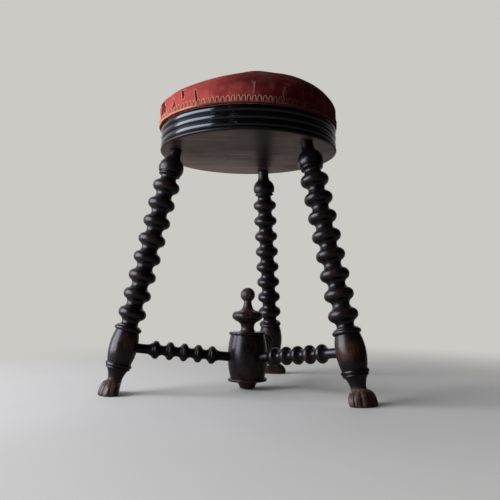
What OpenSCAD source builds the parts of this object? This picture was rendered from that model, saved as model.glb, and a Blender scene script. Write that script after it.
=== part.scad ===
// Revolving piano stool in ebonised wood.
// Three bobbin-turned legs with carved paw feet stand round a turned centre boss,
// and a stuffed round seat turns on an iron pivot hidden between its two boards.
// The origin is on the floor under the seat's axis, Z points up, the rear leg is on +Y.

/* [Stand] */
// Height of the fixed board's underside above the floor
board_under_h = 404; // [385:1:425]
// Distance from the seat's rim in to a leg's axis, at the board's underside
leg_inset = 24.8; // [23:0.1:30]
// How much further out than its top a leg's axis meets the floor
leg_splay = 98.1; // [80:0.1:112]
// Thickness of the fixed board
board_t = 22; // [20:0.5:26]
// Thickness of the board's edge that shows under the seat
board_lip_t = 5.2; // [4:0.1:6.5]
// How far that edge stands out past the seat's rim
board_lip_reach = 0.7; // [0:0.1:2]

/* [Legs] */
// Diameter of the plain neck under the board
neck_d = 20; // [19:0.5:23]
// Length of the plain neck
neck_l = 9; // [7:0.5:12]
// Diameter of the knob
knob_d = 41.6; // [38:0.2:44]
// Length of the knob, from the neck to the undercut
knob_l = 33.4; // [31:0.2:38]
// Diameter of the thin ring under the knob
collarino_d = 36; // [33:0.5:38]
// Thickness of that ring
collarino_t = 4.2; // [3.5:0.1:5.5]
// Number of bobbins on a leg
bobbin_count = 8; // [7:1:9]
// Diameter of a bobbin
bobbin_d = 45.2; // [42:0.2:47]
// Diameter of the waist between two bobbins
waist_d = 26.4; // [24:0.2:28]
// Diameter of the collar over the barrel
collar_d = 43.4; // [42:0.2:46]
// Thickness of the collar
collar_t = 7.6; // [6:0.1:9]
// Diameter of the barrel at its middle
barrel_d = 45; // [43:0.2:48]
// Diameter of the barrel at its ends
barrel_end_d = 37.4; // [35:0.2:40]
// Length of the barrel
barrel_l = 51.5; // [48:0.5:58]
// Diameter of the bead under the barrel
bead_d = 41.6; // [40:0.2:43]
// Thickness of the bead
bead_t = 6.2; // [5:0.1:7.5]
// Length of the ankle, from the bead to the paw
ankle_l = 22.5; // [19:0.5:26]
// Diameter of the ankle where it enters the paw
ankle_d = 22.4; // [20:0.2:24]
// Diameter of the round tenon at the top of a leg
tenon_d = 18; // [15:0.5:18.5]

/* [Paw feet] */
// Height of a paw
paw_h = 21.2; // [19:0.1:25]
// Reach of the toes past the leg's axis
paw_front = 21; // [19:0.1:25]
// Reach of the heel behind the leg's axis
paw_back = 11.5; // [9:0.1:14]
// Width of a paw
paw_w = 57; // [50:0.2:62]
// Number of toes
toe_count = 5; // [3:1:6]
// Depth of the grooves between the toes
toe_groove = 1.7; // [0.5:0.1:2.4]

/* [Stretchers] */
// Number of bobbins on a stretcher
rail_bobbin_count = 5; // [4:1:6]
// Spacing of those bobbins
rail_bobbin_pitch = 23.6; // [22:0.1:25]
// Diameter of those bobbins
rail_bobbin_d = 29.6; // [27:0.2:32]
// Diameter of a stretcher's plain ends and waists
rail_d = 15.4; // [14:0.2:16.4]
// Length of the flare that rises from each plain end to its bobbin
rail_flare_l = 10.5; // [8:0.5:13]
// Depth of a stretcher's ends in the boss and in the leg
rail_mortise = 17; // [14:0.5:18]
// Height on the boss's axis that the stretchers' axes aim at
rail_root_h = 51.2; // [46:0.1:58]

/* [Centre boss] */
// Diameter of the boss at its middle
boss_d = 67; // [65:0.2:70]
// Diameter of the boss at its ends
boss_end_d = 57.4; // [54:0.2:60]
// Diameter of the lip over the boss
boss_lip_d = 63; // [61:0.2:66]
// Diameter of the lip under the boss
boss_base_d = 66.4; // [64:0.2:69]
// Thickness of those lips
boss_lip_t = 4.6; // [4:0.1:5]
// Length of the boss between its lips
boss_l = 73; // [67:0.5:75]
// Height of the boss's middle above the floor
boss_mid_h = 54.8; // [54:0.2:60]
// Length of the drop under the boss
drop_l = 12.2; // [11:0.1:12.6]
// Diameter of the drop's lower end
drop_d = 25.6; // [23:0.2:28]
// Diameter of the finial's ball
ball_d = 24.8; // [22:0.2:27]
// Diameter of the finial's stem under the ball
stem_d = 12.8; // [11:0.2:14]
// Height of the stem, from the disc's top to the ball
stem_l = 17.6; // [15:0.2:21]
// Diameter of the finial's disc
disc_d = 53; // [50:0.2:56]
// Height of the disc
disc_h = 15; // [13:0.2:17]
// Diameter of the finial's neck at its narrowest
finial_neck_d = 22.2; // [20:0.2:25]
// Height of that neck
finial_neck_l = 19.8; // [17:0.2:22]

/* [Seat] */
// Diameter of the reeded rim
seat_d = 305; // [302:1:310]
// Number of reeds round the rim
reed_count = 3; // [2:1:4]
// Depth of the grooves between the reeds
reed_depth = 3.4; // [2.5:0.1:4]
// Thickness of the rim's skirt inside the reeds
skirt_t = 6; // [5.5:0.1:6.5]
// Radial gap between the fixed board and the skirt that turns round it
skirt_clear = 1; // [0.8:0.1:1.5]
// Thickness of the seat board inside the rim
seat_board_t = 16; // [14:0.5:19]
// Thickness of the seat board's top, which carries the covering
seat_top_t = 10; // [9:0.5:12]
// Gap between the fixed board's edge and the turning rim
turn_gap = 0.4; // [0.3:0.1:0.8]

/* [Cushion] */
// Overhang of the cushion past the rim
cushion_bulge = 1.1; // [0:0.1:3]
// Height of the cushion's fullest line above the rim
cushion_swell_h = 25.3; // [22:0.1:30]
// Height of the crown above that line
cushion_crown_h = 52; // [45:0.5:60]
// How far the side draws in to the hem
cushion_draw = 2.1; // [1.5:0.1:3]
// Thickness of the red cover
cover_t = 1.2; // [1:0.1:1.6]
// Thickness of the calico under the cover
calico_t = 0.8; // [0.6:0.1:1.2]
// Height of the looped braid
braid_h = 12; // [9:0.5:14]
// Thickness of the braid
braid_t = 1; // [0.8:0.1:1.4]
// Number of tacks under the braid
tack_count = 24; // [18:1:36]

/* [Pivot] */
// Diameter of the iron spindle
spindle_d = 16; // [12:0.5:18]
// Diameter of the two iron plates
plate_d = 84; // [76:1:96]
// Thickness of the two iron plates
plate_t = 3; // [2.5:0.1:4]
// Diameter of the hubs on the plates
hub_d = 28; // [26:0.5:30]
// Depth of the lower plate's hub
lower_hub_l = 8; // [6:0.5:9]
// Height of the upper plate's hub
upper_hub_l = 3.5; // [3:0.1:4]
// Thickness of the washer that carries the seat
thrust_t = 2.6; // [2:0.1:3.5]
// Diameter of that washer
thrust_d = 44; // [38:1:45]
// Width across the nut's flats
nut_w = 24; // [22:0.5:26]
// Thickness of the nut
nut_t = 5.4; // [5:0.1:6]
// Number of screws in each plate
screw_count = 3; // [3:1:6]

/* [Hidden] */
$fn = 72;

// Directions of the three legs round the seat's axis
left_angle = 210;
right_angle = 330;
rear_angle = 90;
leg_angles = [left_angle, right_angle, rear_angle];

// Fits and small clearances
glue_fit = 0.05;
running_fit = 0.06;
thrust_gap = 0.1;
layer_gap = 0.1;
mortise_gap = 0.3;
overrun = 2;

// Steps along a round stretch of an outline
arc_steps = 8;
cove_steps = 6;

// Heights of the boards, from the floor up
lip_top_h = board_under_h + board_lip_t;
board_top_h = board_under_h + board_t;
seat_under_h = board_top_h + thrust_t + thrust_gap;
rim_top_h = seat_under_h + seat_board_t;
seat_top_h = rim_top_h + seat_top_t;
rim_bottom_h = lip_top_h + turn_gap;
reed_h = (rim_top_h - rim_bottom_h) / reed_count;

// Radii of the seat and its boards
rim_r = seat_d / 2;
skirt_r = rim_r - reed_depth - skirt_t;
spigot_r = skirt_r - skirt_clear;

// Cushion: its layers are nested outlines, each set in from the cover's face
cushion_r = rim_r + cushion_bulge;
swell_h = rim_top_h + cushion_swell_h;
hem_gap = 0.4;
hem_h = rim_top_h + hem_gap;
hem_r = cushion_r - cushion_draw;
lining_inset = cover_t + layer_gap;
stuffing_inset = lining_inset + calico_t + layer_gap;
seat_top_r = hem_r - stuffing_inset;
crown_steps = 18;
crown_power = 0.87;

// Tacks: a flat head under the braid, and a shank through the layers into the board's edge
tack_h = (hem_h + seat_top_h) / 2;
tack_head_t = 0.6;
tack_head_d = 6;
tack_d = 1.4;
tack_l = 9;
tack_foot_r = hem_r + layer_gap;
braid_r = tack_foot_r + tack_head_t + layer_gap;
braid_foot_h = hem_h + layer_gap;

// A leg's axis leans out by this angle, and its sections follow one another from the top
leg_top_reach = rim_r - leg_inset;
leg_foot_reach = leg_top_reach + leg_splay;
leg_lean = atan2(leg_splay, board_under_h);
leg_l = norm([leg_splay, board_under_h]);
neck_root_l = 8;
knob_end = neck_l + knob_l;
undercut_d = 33.2;
undercut_l = 1.6;
collarino_end = knob_end + undercut_l + collarino_t;
throat_l = 4;
bobbins_start = collarino_end + throat_l;
leg_crest_share = 0.53;
ankle_end = leg_l - paw_h / cos(leg_lean);
bead_end = ankle_end - ankle_l;
barrel_end = bead_end - bead_t;
barrel_start = barrel_end - barrel_l;
collar_start = barrel_start - collar_t;
collar_foot_d = 36.8;
collar_step_l = 1.2;
collar_cove_r = 5.1;
bobbins_end = collar_start - collar_step_l - collar_cove_r;
bobbin_pitch = (bobbins_end - bobbins_start) / bobbin_count;
ankle_step_d = 38.6;
ankle_step_l = 3.4;
ankle_root_d = 34.2;

// The knob is part of a ball, between a flare from the neck and the undercut
knob_round_r = 20;
knob_flare_l = 9.5;
knob_flare_shares = [[0, 0], [0.55, 0.3], [1, 1]];
knob_under_l = 7.4;
knob_over_l = knob_l - knob_flare_l - knob_under_l;
knob_over_sweep = asin(knob_over_l / knob_round_r);
knob_under_sweep = asin(knob_under_l / knob_round_r);
knob_flare_d = knob_d - 2 * knob_round_r * (1 - cos(knob_over_sweep));

// The wedge that spreads a tenon is driven in from the board's top
wedge_t = 3.2;
wedge_tip_t = 1.6;
wedge_l = 14;

// A stretcher's axis climbs from the boss to the middle of the leg's barrel
barrel_mid = (barrel_start + barrel_end) / 2;
rail_leg_reach = leg_top_reach + barrel_mid * sin(leg_lean);
rail_leg_h = board_under_h - barrel_mid * cos(leg_lean);
rail_rise = atan2(rail_leg_h - rail_root_h, rail_leg_reach);
rail_axis_l = norm([rail_leg_reach, rail_leg_h - rail_root_h]);
rail_start = boss_d / 2 - rail_mortise;
rail_end = rail_axis_l - barrel_d / 2 + rail_mortise;
rail_mid = (boss_d / 2 + rail_axis_l - barrel_d / 2) / 2;
rail_bobbins_l = rail_bobbin_count * rail_bobbin_pitch;
rail_crest_share = 0.42;

// Heights on the boss and its finial
boss_bottom_h = boss_mid_h - boss_l / 2;
boss_top_h = boss_mid_h + boss_l / 2;
lip_over_h = boss_top_h + boss_lip_t;
lip_under_h = boss_bottom_h - boss_lip_t;
drop_h = lip_under_h - drop_l;
drop_root_d = 38.6;
drop_edge = 1.5;
disc_under_h = lip_over_h + finial_neck_l;
disc_top_h = disc_under_h + disc_h;
ball_bottom_h = disc_top_h + stem_l;
disc_edge_low_angle = -65;
disc_edge_high_angle = 80;
finial_foot_d = 28.4;
dowel_d = 12;
dowel_l = 14;

// Shares of the drop's and the finial's outlines: height along a stretch, then radius between its ends
drop_shares = [[0.3, 0.22], [0.6, 0.5], [0.85, 0.8], [1, 1]];
finial_foot_shares = [[0, 1], [0.05, 0.75], [0.15, 0.3]];
finial_flare_shares = [[0.38, 0], [0.55, 0.06], [0.69, 0.17], [0.8, 0.34], [0.9, 0.62], [0.96, 0.85]];
stem_shares = [[0.04, 0.68], [0.11, 0.44], [0.2, 0.3], [0.32, 0.2], [0.5, 0.11], [0.75, 0.03], [1, 0]];

// Radii and heights in the pivot
spindle_r = spindle_d / 2;
seat_hub_h = seat_under_h + plate_t + upper_hub_l;
spindle_washer_d = 30;
spindle_washer_t = 1.6;
nut_h = seat_hub_h + thrust_gap + spindle_washer_t;
spindle_proud = 1.2;
spindle_chamfer = 1;
hub_hole_clear = 4;
hub_hole_d = hub_d + 2 * hub_hole_clear;
screw_circle_r = (plate_d + hub_d) / 4;
screw_head_d = 9;
screw_head_t = 2.6;
screw_d = 4.4;
screw_tip_d = 1;
lower_screw_l = 14;
upper_screw_l = 11;

// A paw is lofted through sections at these shares of its height, from inside the ankle down
paw_level_shares = [1.12, 0.98, 0.93, 0.84, 0.7, 0.5, 0.28, 0.1, -0.04];
paw_points = 72;
paw_root_gap = 0.2;
paw_sole_share = 0.12;
toe_spread_angle = 150;

// A thin plate turned on a leg or the boss has its two edges rounded by this share of it
edge_share = 0.34;

// Points of an arc round [r, s], from one angle to another
function arc(r, s, radius, from, to, steps = arc_steps) = [
    for (i = [0 : steps])
        let (a = from + (to - from) * i / steps)
            [r + radius * cos(a), s + radius * sin(a)]
];

// A half-round bead between two places on the axis
function bead(r, from, to) =
    let (radius = (to - from) / 2)
        arc(r - radius, from + radius, radius, -90, 90);

// Points whose height and radius are shares of the way from [r1, h1] to [r2, h2]
function shared_points(shares, r1, r2, h1, h2) = [
    for (p = shares)
        [r1 + p[1] * (r2 - r1), h1 + p[0] * (h2 - h1)]
];

// A thin plate between two places on the axis, with eased edges
function plate_edge(r, from, to) =
    let (ease = edge_share * (to - from))
        concat(
            arc(r - ease, from + ease, ease, -90, 0, cove_steps / 2),
            arc(r - ease, to - ease, ease, 0, 90, cove_steps / 2)
        );

// A swelling outline whose radius goes from end_r to mid_r and back, as one arc
function swelling(end_r, mid_r, from, to) =
    let (
        half = (to - from) / 2,
        rise = mid_r - end_r,
        radius = (half * half + rise * rise) / (2 * rise),
        sweep = asin(half / radius)
    )
        arc(mid_r - radius, from + half, radius, -sweep, sweep, 2 * arc_steps);

// A hollow taper that ends level with the axis, from r1 down to r2
function hollow_taper(r1, r2, from, to) =
    let (
        run = to - from,
        drop = r1 - r2,
        radius = (run * run + drop * drop) / (2 * drop),
        sweep = asin(run / radius)
    )
        arc(r2 + radius, to, -radius, sweep, 0);

// A row of bobbins: round crests joined by coves that meet them without a corner.
// crest_share is the crest's part of the two radii together.
function bobbins(crest_r, waist_r, from, pitch, count, crest_share) =
    let (
        half = pitch / 2,
        rise = crest_r - waist_r,
        both = (half * half + rise * rise) / (2 * rise),
        round_r = both * crest_share,
        cove_r = both - round_r,
        sweep = asin(half / both)
    )
        [
            for (i = [0 : count - 1])
                let (s = from + i * pitch)
                    each concat(
                        arc(waist_r + cove_r, s, -cove_r, 0, -sweep, cove_steps / 2),
                        arc(crest_r - round_r, s + half, round_r, -sweep, sweep),
                        arc(waist_r + cove_r, s + pitch, -cove_r, sweep, 0, cove_steps / 2)
                    )
        ];

// Where a bobbin's crest meets its cove: [radius, distance along the axis from the bobbin's middle]
function crest_foot(crest_r, waist_r, pitch, crest_share) =
    let (
        half = pitch / 2,
        rise = crest_r - waist_r,
        both = (half * half + rise * rise) / (2 * rise),
        round_r = both * crest_share,
        sweep = asin(half / both)
    )
        [crest_r - round_r * (1 - cos(sweep)), round_r * sin(sweep)];

// The same points without repeats, which neighbouring arcs leave where they meet
function without_repeats(points) = [
    for (i = [0 : len(points) - 1])
        if (i == 0 || norm(points[i] - points[max(i - 1, 0)]) > layer_gap)
            points[i]
];

// A solid turned round the Z axis from points [r, z], closed on the axis at both ends
module turned(points) {
    last = len(points) - 1;
    rotate_extrude()
        polygon(without_repeats(concat([[0, points[0][1]]], points, [[0, points[last][1]]])));
}

// A ring turned round the Z axis from a closed outline of points [r, z]
module turned_ring(points) {
    rotate_extrude()
        polygon(without_repeats(points));
}

// Points [r, s], s running down from the top, as points [r, z]
function downward(points) = [for (p = points) [p[0], -p[1]]];

// Places a leg's own frame: its Z axis is the leg's axis, and zero is at the board's underside
module on_leg() {
    translate([leg_top_reach, 0, board_under_h])
        rotate([0, -leg_lean, 0])
            children();
}

// Places a stretcher's own frame: its Z axis runs from the boss's axis to the leg's
module on_stretcher() {
    translate([0, 0, rail_root_h])
        rotate([0, 90 - rail_rise, 0])
            children();
}

function knob_points() = concat(
    shared_points(knob_flare_shares, neck_d / 2, knob_flare_d / 2, neck_l, neck_l + knob_flare_l),
    arc(knob_d / 2 - knob_round_r, knob_end - knob_under_l, knob_round_r,
        -knob_over_sweep, knob_under_sweep)
);

function leg_points() = concat(
    [[neck_d / 2, -neck_root_l]],
    knob_points(),
    [[undercut_d / 2, knob_end], [undercut_d / 2, knob_end + undercut_l]],
    bead(collarino_d / 2, knob_end + undercut_l, collarino_end),
    arc(waist_d / 2 + throat_l, bobbins_start, -throat_l, 90, 0, cove_steps),
    bobbins(bobbin_d / 2, waist_d / 2, bobbins_start, bobbin_pitch, bobbin_count, leg_crest_share),
    arc(waist_d / 2 + collar_cove_r, bobbins_end, -collar_cove_r, 0, -90, cove_steps),
    [[collar_foot_d / 2, collar_start]],
    bead(collar_d / 2, collar_start, barrel_start),
    swelling(barrel_end_d / 2, barrel_d / 2, barrel_start, barrel_end),
    plate_edge(bead_d / 2, barrel_end, bead_end),
    plate_edge(ankle_step_d / 2, bead_end, bead_end + ankle_step_l),
    hollow_taper(ankle_root_d / 2, ankle_d / 2, bead_end + ankle_step_l, ankle_end)
);

// Inward dip of the outline between two toes, at an angle from the middle toe
function toe_dip(angle) =
    abs(angle) > toe_spread_angle / 2 + 1 ? 0 :
    pow((1 + cos(360 * toe_count * (angle / toe_spread_angle + 0.5))) / 2, 2);

// How far a paw has spread from the ankle's round to its full size, at a share of its height
function paw_spread(level) =
    pow(max(0, 1 - pow(max(0, level), 3.4)), 0.75)
    * (1 - paw_sole_share * pow(max(0, 1 - 4 * max(0, level)), 2));

// One section of the paw: points round the leg's axis, tilted like the leg at the ankle
function paw_ring(level) =
    let (
        up = max(0, level),
        h = paw_h * level,
        tilt = leg_lean * min(1, up * up),
        ankle_r = ankle_d / 2 - paw_root_gap,
        front = ankle_r + (paw_front - ankle_r) * paw_spread(level),
        back = ankle_r + (paw_back - ankle_r) * pow(max(0, 1 - up), 1.2),
        half_w = ankle_r + (paw_w / 2 - ankle_r) * paw_spread(level),
        groove = toe_groove * max(0, 1 - pow(up, 6)),
        axis = leg_foot_reach - h * tan(leg_lean)
    )
        [
            for (i = [0 : paw_points - 1])
                let (
                    a = 360 * i / paw_points,
                    off = a > 180 ? a - 360 : a,
                    dip = groove * toe_dip(off),
                    along = ((abs(off) < 90 ? front : back) - dip) * cos(a),
                    across = (half_w - dip) * sin(a)
                )
                    [axis + along * cos(tilt), across, h + along * sin(tilt)]
        ];

// A carved paw, pointing along +X, lofted through its sections and cut flat at the floor
module paw() {
    rows = len(paw_level_shares);
    rings = [for (level = paw_level_shares) paw_ring(level)];
    top_h = paw_h * paw_level_shares[0];
    low_h = paw_h * paw_level_shares[rows - 1];
    top_middle = [leg_foot_reach - top_h * tan(leg_lean), 0, top_h];
    low_middle = [leg_foot_reach - low_h * tan(leg_lean), 0, low_h];
    points = concat([for (ring = rings) each ring], [top_middle, low_middle]);
    top_point = rows * paw_points;
    low_point = top_point + 1;
    last_ring = (rows - 1) * paw_points;
    sides = [
        for (k = [0 : rows - 2])
            for (i = [0 : paw_points - 1])
                let (
                    j = (i + 1) % paw_points,
                    a = k * paw_points + i,
                    b = k * paw_points + j,
                    c = a + paw_points,
                    d = b + paw_points
                )
                    each [[a, b, c], [b, d, c]]
    ];
    caps = [
        for (i = [0 : paw_points - 1])
            let (j = (i + 1) % paw_points)
                each [[top_point, j, i], [low_point, last_ring + i, last_ring + j]]
    ];
    difference() {
        polyhedron(points = points, faces = concat(sides, caps));
        translate([leg_foot_reach - 2 * paw_front, -paw_w, -paw_h])
            cube([4 * paw_front, 2 * paw_w, paw_h]);
    }
}

// A wedge as wide as the tenon, larger by extra on its faces
module wedge(extra) {
    top = (board_t + overrun) / cos(leg_lean);
    on_leg()
        intersection() {
            rotate([90, 0, 0])
                linear_extrude(height = 2 * tenon_d, center = true)
                    polygon([
                        [-wedge_t / 2 - extra, top],
                        [-wedge_tip_t / 2 - extra, board_t - wedge_l - extra],
                        [wedge_tip_t / 2 + extra, board_t - wedge_l - extra],
                        [wedge_t / 2 + extra, top]
                    ]);
            cylinder(d = tenon_d + 4 * extra, h = top);
        }
}

// The space above a level, which cuts tenons and wedges off flush
module above(level) {
    translate([0, 0, level])
        cylinder(r = rim_r, h = 2 * board_t);
}

// One leg along +X: turned from the board to the ankle, then carved as a paw
module leg() {
    difference() {
        union() {
            difference() {
                on_leg()
                    turned(downward(leg_points()));
                above(board_under_h);
            }
            difference() {
                on_leg()
                    translate([0, 0, -neck_l])
                        cylinder(d = tenon_d, h = neck_l + board_t + tenon_d);
                above(board_top_h);
            }
            paw();
        }
        on_stretcher()
            translate([0, 0, rail_axis_l - barrel_d])
                cylinder(d = rail_d + 2 * glue_fit, h = rail_end + mortise_gap + barrel_d - rail_axis_l);
        wedge(glue_fit);
    }
}

module leg_at(angle) {
    color("#1d1716")
        rotate([0, 0, angle])
            leg();
}

module leg_wedges() {
    color("#4a3626")
        for (angle = leg_angles)
            rotate([0, 0, angle])
                difference() {
                    wedge(0);
                    above(board_top_h);
                }
}

// One stretcher along +X: plain round ends that flare to a row of bobbins midway
module stretcher() {
    crest_r = rail_bobbin_d / 2;
    waist_r = rail_d / 2;
    foot = crest_foot(crest_r, waist_r, rail_bobbin_pitch, rail_crest_share);
    row_start = rail_mid - rail_bobbins_l / 2;
    first_foot = row_start + rail_bobbin_pitch / 2 - foot[1];
    last_foot = row_start + rail_bobbins_l - rail_bobbin_pitch / 2 + foot[1];
    row = bobbins(crest_r, waist_r, row_start, rail_bobbin_pitch, rail_bobbin_count, rail_crest_share);
    flare = hollow_taper(foot[0], waist_r, 0, rail_flare_l);
    on_stretcher()
        turned(concat(
            [[waist_r, rail_start]],
            [for (k = [arc_steps : -1 : 0]) [flare[k][0], first_foot - flare[k][1]]],
            [for (p = row) if (p[1] > first_foot && p[1] < last_foot) p],
            [for (p = flare) [p[0], last_foot + p[1]]],
            [[waist_r, rail_end]]
        ));
}

module stretcher_at(angle) {
    color("#1b1615")
        rotate([0, 0, angle])
            stretcher();
}

// The boss: a barrel between two thin lips, with a stubby drop under it
module centre_boss() {
    end_r = drop_d / 2;
    color("#1f1817")
        difference() {
            turned(concat(
                [[end_r - drop_edge, drop_h], [end_r, drop_h + drop_edge]],
                shared_points(drop_shares, end_r, drop_root_d / 2, drop_h + drop_edge, lip_under_h),
                plate_edge(boss_base_d / 2, lip_under_h, boss_bottom_h),
                swelling(boss_end_d / 2, boss_d / 2, boss_bottom_h, boss_top_h),
                plate_edge(boss_lip_d / 2, boss_top_h, lip_over_h)
            ));
            for (angle = leg_angles)
                rotate([0, 0, angle])
                    on_stretcher()
                        translate([0, 0, rail_start - mortise_gap])
                            cylinder(d = rail_d + 2 * glue_fit, h = boss_d);
            translate([0, 0, lip_over_h - dowel_l - mortise_gap])
                cylinder(d = dowel_d + 2 * glue_fit, h = dowel_l + mortise_gap + overrun);
        }
}

// The finial: a hollow neck, a mushroom disc, a flaring stem and a ball, on a dowel
module boss_finial() {
    neck_r = finial_neck_d / 2;
    stem_r = stem_d / 2;
    ball_r = ball_d / 2;
    edge_r = disc_h / 2;
    edge_points = arc(disc_d / 2 - edge_r, disc_under_h + edge_r, edge_r,
        disc_edge_low_angle, disc_edge_high_angle, 2 * arc_steps);
    step_r = edge_points[0][0];
    dome_r = edge_points[2 * arc_steps][0];
    ball_h = ball_bottom_h + sqrt(ball_r * ball_r - stem_r * stem_r);
    color("#1c1615")
        turned(concat(
            [[dowel_d / 2, lip_over_h - dowel_l], [dowel_d / 2, lip_over_h]],
            shared_points(finial_foot_shares, neck_r, finial_foot_d / 2, lip_over_h, disc_under_h),
            shared_points(finial_flare_shares, neck_r, step_r, lip_over_h, disc_under_h),
            edge_points,
            shared_points(stem_shares, stem_r, dome_r, disc_top_h, ball_bottom_h),
            arc(0, ball_h, ball_r, -asin((ball_h - ball_bottom_h) / ball_r), 90, 2 * arc_steps)
        ));
}

// The fixed board: a thin rounded edge that shows, and a spigot hidden in the seat's skirt
module base_board() {
    color("#5b4a40")
        difference() {
            turned(concat(
                bead(rim_r + board_lip_reach, board_under_h, lip_top_h),
                [[spigot_r, lip_top_h], [spigot_r, board_top_h]]
            ));
            for (angle = leg_angles)
                rotate([0, 0, angle])
                    on_leg()
                        translate([0, 0, -board_t])
                            cylinder(d = tenon_d + 2 * glue_fit, h = 3 * board_t);
            translate([0, 0, board_top_h - plate_t])
                cylinder(d = plate_d + 2 * glue_fit, h = plate_t + overrun);
            translate([0, 0, board_top_h - plate_t - lower_hub_l - mortise_gap])
                cylinder(d = hub_d + 2 * glue_fit, h = lower_hub_l + plate_t);
            on_lower_plate()
                screw_hole(lower_screw_l);
        }
}

// A countersunk wood screw's outline, its head's face at zero and its shank down
function screw_points(length, extra) = [
    [screw_head_d / 2 + extra, 0],
    [screw_d / 2 + extra, -screw_head_t],
    [screw_d / 2 + extra, -length + screw_d],
    [screw_tip_d / 2, -length]
];

module wood_screw(length) {
    turned(screw_points(length, 0));
}

// The hole for a screw, open above its head
module screw_hole(length) {
    turned(concat([[screw_head_d / 2 + glue_fit, overrun]], screw_points(length, glue_fit)));
}

// Places one screw after another round a plate
module round_plate() {
    for (k = [0 : screw_count - 1])
        rotate([0, 0, 360 * k / screw_count])
            translate([screw_circle_r, 0, 0])
                children();
}

// Puts a screw or its hole at each place on the lower plate
module on_lower_plate() {
    translate([0, 0, board_top_h])
        round_plate()
            children();
}

// The same on the upper plate, where the screws go up
module on_upper_plate() {
    translate([0, 0, seat_under_h])
        mirror([0, 0, 1])
            round_plate()
                children();
}

// The lower iron plate, let into the fixed board, with a hub that holds the spindle
module pivot_plate() {
    bore_r = spindle_r + glue_fit;
    under = board_top_h - plate_t;
    color("#4c4a48")
        difference() {
            turned_ring([
                [bore_r, under - lower_hub_l],
                [hub_d / 2, under - lower_hub_l],
                [hub_d / 2, under],
                [plate_d / 2, under],
                [plate_d / 2, board_top_h],
                [bore_r, board_top_h]
            ]);
            on_lower_plate()
                screw_hole(lower_screw_l);
        }
}

module pivot_plate_screws() {
    color("#6d6a66")
        on_lower_plate()
            wood_screw(lower_screw_l);
}

// The spindle, fast in the lower plate, on which the seat turns
module pivot_spindle() {
    top = nut_h + nut_t + spindle_proud;
    color("#77736e")
        turned([
            [spindle_r, board_top_h - plate_t - lower_hub_l],
            [spindle_r, top - spindle_chamfer],
            [spindle_r - spindle_chamfer, top]
        ]);
}

// A flat washer round the spindle
module spindle_ring(outer_d, under, thickness) {
    hole_r = spindle_r + mortise_gap;
    turned_ring([
        [hole_r, under],
        [outer_d / 2, under],
        [outer_d / 2, under + thickness],
        [hole_r, under + thickness]
    ]);
}

module thrust_washer() {
    color("#8f7a4a")
        spindle_ring(thrust_d, board_top_h, thrust_t);
}

module spindle_washer() {
    color("#6a6764")
        spindle_ring(spindle_washer_d, seat_hub_h + thrust_gap, spindle_washer_t);
}

module spindle_nut() {
    color("#5a5856")
        translate([0, 0, nut_h])
            difference() {
                cylinder(d = nut_w / cos(30), h = nut_t, $fn = 6);
                translate([0, 0, -overrun])
                    cylinder(d = spindle_d + 2 * glue_fit, h = nut_t + 2 * overrun);
            }
}

// The upper iron plate, let into the seat board, with a hub that turns on the spindle
module seat_plate() {
    bore_r = spindle_r + running_fit;
    color("#504e4b")
        difference() {
            turned_ring([
                [bore_r, seat_under_h],
                [plate_d / 2, seat_under_h],
                [plate_d / 2, seat_under_h + plate_t],
                [hub_d / 2, seat_under_h + plate_t],
                [hub_d / 2, seat_hub_h],
                [bore_r, seat_hub_h]
            ]);
            on_upper_plate()
                screw_hole(upper_screw_l);
        }
}

module seat_plate_screws() {
    color("#6d6a66")
        on_upper_plate()
            wood_screw(upper_screw_l);
}

// The turning board: a disc inside the rim, and a wider top that the covering is tacked to
module seat_board() {
    color("#6b5138")
        difference() {
            turned([
                [skirt_r - glue_fit, seat_under_h],
                [skirt_r - glue_fit, rim_top_h],
                [seat_top_r, rim_top_h],
                [seat_top_r, seat_top_h]
            ]);
            translate([0, 0, seat_under_h - overrun])
                cylinder(d = plate_d + 2 * glue_fit, h = plate_t + overrun);
            translate([0, 0, seat_under_h])
                cylinder(d = hub_hole_d, h = seat_board_t + seat_top_t + overrun);
            on_upper_plate()
                screw_hole(upper_screw_l);
            tack_holes();
        }
}

// The reeded rim: a row of half-round reeds outside and a plain skirt inside
module seat_rim() {
    color("#15151a")
        turned_ring(concat(
            [[skirt_r, rim_bottom_h]],
            [
                for (k = [0 : reed_count - 1])
                    let (from = rim_bottom_h + k * reed_h)
                        each swelling(rim_r - reed_depth, rim_r, from, from + reed_h)
            ],
            [[skirt_r, rim_top_h]]
        ));
}

// The cushion's side, straight over the board's edge and then swelling to its fullest line
function cushion_side(inset, from, to) = [
    for (i = [0 : arc_steps])
        let (
            h = from + (to - from) * i / arc_steps,
            below = max(0, swell_h - max(h, seat_top_h)) / (swell_h - seat_top_h)
        )
            [cushion_r - inset - cushion_draw * below * below, h]
];

// The cushion's outline from a height on its side up to the crown, set in from the cover's face
function cushion_outline(inset, from) = concat(
    [[hem_r - inset, from]],
    cushion_side(inset, max(from, seat_top_h), swell_h),
    [
        for (i = [0 : crown_steps])
            let (a = 90 * i / crown_steps)
                [
                    (cushion_r - inset) * pow(cos(a), crown_power),
                    swell_h + (cushion_crown_h - inset) * pow(sin(a), crown_power)
                ]
    ]
);

function reversed(points) = [for (i = [len(points) - 1 : -1 : 0]) points[i]];

// A cloth layer: the skin between two nested outlines, pierced by the tacks
module cushion_layer(inset, thickness) {
    difference() {
        turned_ring(concat(
            cushion_outline(inset, hem_h),
            reversed(cushion_outline(inset + thickness, hem_h))
        ));
        tack_holes();
    }
}

// The horsehair stuffing on the seat board
module stuffing() {
    color("#5d4a38")
        turned(cushion_outline(stuffing_inset, seat_top_h));
}

module calico_lining() {
    color("#cbbd9f")
        cushion_layer(lining_inset, calico_t);
}

module seat_cover() {
    color("#9a3836")
        cushion_layer(0, cover_t);
}

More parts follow.
